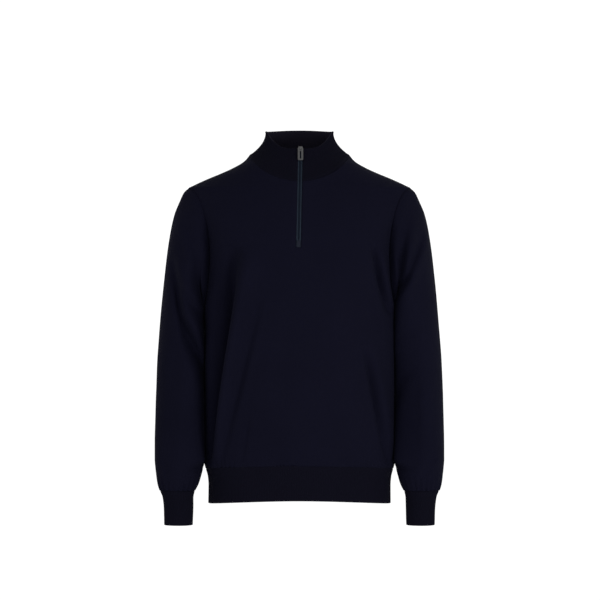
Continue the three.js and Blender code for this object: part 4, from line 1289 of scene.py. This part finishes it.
knitLook = {
    "wale": 1.35,  # width of one column of stitches
    "course": 1.05,  # height of one row
    "slant": 0.75,
    "bump": 0.35,
    "depth": 0.4,
    "lift": 0.4,  # how much darker and lighter than its colour the cloth gets, by painted shade and highlight on the stitches and by random unevenness
    # share of the painted stitch highlight and shade in that
    "stitchShare": 0.45,
    "noises": ((9, 3, 0.35), (900, 2, 0.3)),  # scale, detail and share: cloudy, then fuzzy
    "specular": 0.015,
    "sheen": 0.007,
    "sheenRoughness": 0.45,
    "sheenTint": (0.35, 0.38, 0.62, 1),
}
tapeLook = {
    "wale": 0.7,
    "course": 0.6,
    "slant": 0.9,
    "bump": 0.4,
    "depth": 0.2,
    # share of the colour left in the weave's hollows: painted shade
    "dark": 0.45,
    "roughness": 0.7,
    "specular": 0.02,
}
nylonLook = {
    "scale": 700,
    "dark": (0.0018, 0.0030, 0.0060),
    "light": (0.0048, 0.0076, 0.0150),
    "roughness": 0.5,
    "specular": 0.03,
}
metalLook = {
    "scale": 260,
    "detail": 4,
    "stretch": (1, 1, 14),
    "rampEnds": (0.3, 0.75),
    "dark": (0.036, 0.036, 0.037),
    "light": (0.105, 0.105, 0.106),
    "roughness": (0.3, 0.2),  # the least, and how far it varies
    "bump": 0.08,
    "depth": 0.1,
}


def newMaterial(name):
    material = bpy.data.materials.new(name)
    material.use_nodes = True
    return material, material.node_tree, material.node_tree.nodes["Principled BSDF"]


def setInputs(tree, node, values):
    # Each input gets a value, or a link where the value is another node's output
    for key, value in values.items():
        if isinstance(value, bpy.types.NodeSocket):
            tree.links.new(value, node.inputs[key])
        else:
            node.inputs[key].default_value = value


def addNode(tree, kind, values, **settings):
    node = tree.nodes.new("ShaderNode" + kind)
    for key, value in settings.items():
        setattr(node, key, value)
    setInputs(tree, node, values)
    return node


def addMath(tree, operation, *values):
    return addNode(tree, "Math", dict(enumerate(values)), operation=operation).outputs[0]


def addNoise(tree, scale, detail=2, stretch=None):
    place = addNode(tree, "TexCoord", {}).outputs["Object"]
    if stretch:
        place = addNode(tree, "Mapping", {"Vector": place, "Scale": stretch}).outputs[0]
    return addNode(tree, "TexNoise", {"Vector": place, "Scale": scale, "Detail": detail}).outputs[0]


def addBump(tree, height, look):
    values = {"Height": height, "Strength": look["bump"], "Distance": look["depth"] * mm}
    return addNode(tree, "Bump", values).outputs[0]


def addRamp(tree, share, dark, light, start=0, end=1):
    ramp = addNode(tree, "ValToRGB", {0: share})
    for mark, position, colour in zip(ramp.color_ramp.elements, (start, end), (dark, light)):
        mark.position = position
        mark.color = (*colour, 1)
    return ramp.outputs[0]


def stitchHeight(tree, look):
    # Columns of small V stitches from the distances along the cloth
    uv = addNode(tree, "UVMap", {}, uv_map="cloth").outputs[0]
    across, up, _ = addNode(tree, "SeparateXYZ", {0: uv}).outputs
    column = addMath(tree, "FRACT", addMath(tree, "DIVIDE", across, look["wale"] * mm))
    fromMiddle = addMath(tree, "ABSOLUTE", addMath(tree, "SUBTRACT", column, 0.5))
    row = addMath(tree, "DIVIDE", up, look["course"] * mm)
    rise = addMath(tree, "MULTIPLY", fromMiddle, 2 * look["slant"])
    strand = addMath(tree, "FRACT", addMath(tree, "SUBTRACT", row, rise))
    ridge = addMath(tree, "SINE", addMath(tree, "MULTIPLY", strand, math.pi))
    side = addMath(tree, "SINE", addMath(tree, "MULTIPLY", fromMiddle, 2 * math.pi))
    return addMath(tree, "MULTIPLY", ridge, addMath(tree, "POWER", side, 0.5))


def makeKnit(name, colour, roughness):
    look = knitLook
    material, tree, shader = newMaterial(name)
    height = stitchHeight(tree, look)
    # painted highlight and shade: the stitches' tops are coloured lighter and their hollows darker, and
    # the cloth's tone is a little uneven at random
    shade = addMath(tree, "MULTIPLY", height, look["stitchShare"])
    for scale, detail, share in look["noises"]:
        part = addMath(tree, "MULTIPLY", addNoise(tree, scale, detail), share)
        shade = addMath(tree, "ADD", shade, part)
    dark, light = ((*[c * (1 + way * look["lift"]) for c in colour], 1) for way in (-1, 1))
    mix = addNode(tree, "Mix", {}, data_type="RGBA")
    setInputs(tree, mix, {"Factor": shade, "A": dark, "B": light})
    setInputs(tree, shader, {
        "Base Color": mix.outputs["Result"],
        "Normal": addBump(tree, height, look),
        "Roughness": roughness,
        "Specular IOR Level": look["specular"],
        "Sheen Weight": look["sheen"],
        "Sheen Roughness": look["sheenRoughness"],
        "Sheen Tint": look["sheenTint"],
    })
    return material


def makeTapeMaterial(name, colour):
    look = tapeLook
    material, tree, shader = newMaterial(name)
    # painted shade: the weave is coloured darker down in its hollows than on its tops
    height = stitchHeight(tree, look)
    setInputs(tree, shader, {
        "Base Color": addRamp(tree, height, [c * look["dark"] for c in colour], colour),
        "Normal": addBump(tree, height, look),
        "Roughness": look["roughness"],
        "Specular IOR Level": look["specular"],
    })
    return material


def makeNylon():
    look = nylonLook
    material, tree, shader = newMaterial("zipTeeth")
    setInputs(tree, shader, {
        "Base Color": addRamp(tree, addNoise(tree, look["scale"]), look["dark"], look["light"]),
        "Roughness": look["roughness"],
        "Specular IOR Level": look["specular"],
    })
    return material


def makeMetal():
    look = metalLook
    material, tree, shader = newMaterial("zipMetal")
    brushed = addNoise(tree, look["scale"], look["detail"], look["stretch"])
    least, varies = look["roughness"]
    setInputs(tree, shader, {
        "Base Color": addRamp(tree, brushed, look["dark"], look["light"], *look["rampEnds"]),
        "Normal": addBump(tree, brushed, look),
        "Roughness": addMath(tree, "ADD", addMath(tree, "MULTIPLY", brushed, varies), least),
        "Metallic": 1,
    })
    return material


knit = makeKnit("navyKnit", (0.0025, 0.0025, 0.0063), 0.85)
rib = makeKnit("navyRib", (0.0022, 0.0021, 0.0046), 0.88)
# the collar's outside gets a darker copy of the rib: painted shade for a collar that faces up and away
collarRibPaintedShade = makeKnit("collarRibPaintedShade", (0.0020, 0.0019, 0.0042), 0.88)
# a lighter copy of the knit for the collar's inside: painted light
collarInsidePaintedLight = makeKnit("collarInsidePaintedLight", (0.0072, 0.0064, 0.0112), 0.88)
tapeCloth = makeTapeMaterial("zipTape", (0.022, 0.031, 0.046))
stopThread = makeTapeMaterial("stopThread", (0.018, 0.021, 0.033))
nylon = makeNylon()
metal = makeMetal()

pieces = [
    (frontPanel, knit, "knit", ["front"]),
    (backPanel, knit, "knit", ["back"]),
    (leftSleeve, knit, "knit", ["sleeve_left"]),
    (rightSleeve, knit, "knit", ["sleeve_right"]),
    (leftCuff, rib, "rib", ["cuff_left"]),
    (rightCuff, rib, "rib", ["cuff_right"]),
    (hemBand, rib, "rib", ["hem_band"]),
    (collarBand, collarRibPaintedShade, "rib", ["collar"]),
    (leftTape, tapeCloth, "tape", ["zip_tape_left"]),
    (rightTape, tapeCloth, "tape", ["zip_tape_right"]),
    (leftTapeCord, tapeCloth, "tape", []),
    (rightTapeCord, tapeCloth, "tape", []),
    (zipTeeth, nylon, "chain", ["zip_chain"]),
    (zipStop, stopThread, "tape", ["zip_stop"]),
    (zipSlider, metal, "metal", ["zip_slider"]),
    (zipPullTab, metal, "metal", ["zip_pull"]),
]
for piece, material, slotName, nodeNames in pieces:
    piece.data.materials.clear()
    piece.data.materials.append(material)
    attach(piece, "pull" if piece is zipPullTab else "garment")
    if nodeNames:
        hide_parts(*nodeNames)
# painted light: the collar's inside faces get a lighter copy of the knit, standing in for light on the
# inside back
collarBand.data.materials.append(collarInsidePaintedLight)
for face in collarBand.data.polygons:
    outwards = face.normal.x * face.center.x + face.normal.y * face.center.y
    face.material_index = 1 if outwards < 0 else 0
print("materials and bodies set")


# Plain pale floor and soft studio light

studio = {
    "floorZ": -1.35,
    "floorSize": 60,
    "floorColour": (0.96, 0.96, 0.96, 1),
    "world": 1.1,
    "lights": named(
        "name place target size power",
        ("keyLight", (2.1, -2.5, -0.8), (0.05, 0, -0.3), (1.1, 1.4), 62),
        ("fillLight", (-2.1, -2.5, -0.8), (-0.05, 0, -0.3), (1.1, 1.4), 14),
        ("frontLight", (0.2, -3.4, -0.9), (0, 0, -0.3), (0.9, 0.9), 20),
    ),
}


def addLight(name, place, target, size, power):
    light = bpy.data.lights.new(name, "AREA")
    light.shape = "RECTANGLE"
    light.size, light.size_y = size
    light.energy = power
    obj = bpy.data.objects.new(name, light)
    bpy.context.scene.collection.objects.link(obj)
    obj.location = place
    obj.rotation_euler = (Vector(target) - Vector(place)).to_track_quat("-Z", "Y").to_euler()


def makeStudio():
    bm = bmesh.new()
    bmesh.ops.create_grid(bm, x_segments=1, y_segments=1, size=studio["floorSize"] / 2)
    bmesh.ops.translate(bm, vec=(0, 0, studio["floorZ"]), verts=bm.verts)
    floor = finishMesh("floor", bm)
    material, tree, shader = newMaterial("floorWhite")
    setInputs(tree, shader, {"Base Color": studio["floorColour"], "Roughness": 1, "Specular IOR Level": 0})
    floor.data.materials.append(material)
    scene = bpy.context.scene
    scene.world = bpy.data.worlds.new("studio")
    scene.world.use_nodes = True
    tree = scene.world.node_tree
    setInputs(tree, tree.nodes["Background"], {"Color": (1, 1, 1, 1), "Strength": studio["world"]})
    for light in studio["lights"]:
        addLight(**light)
    view = scene.view_settings
    view.view_transform, view.look, view.exposure, view.gamma = "Standard", "None", 0, 1


makeStudio()
print("studio made")
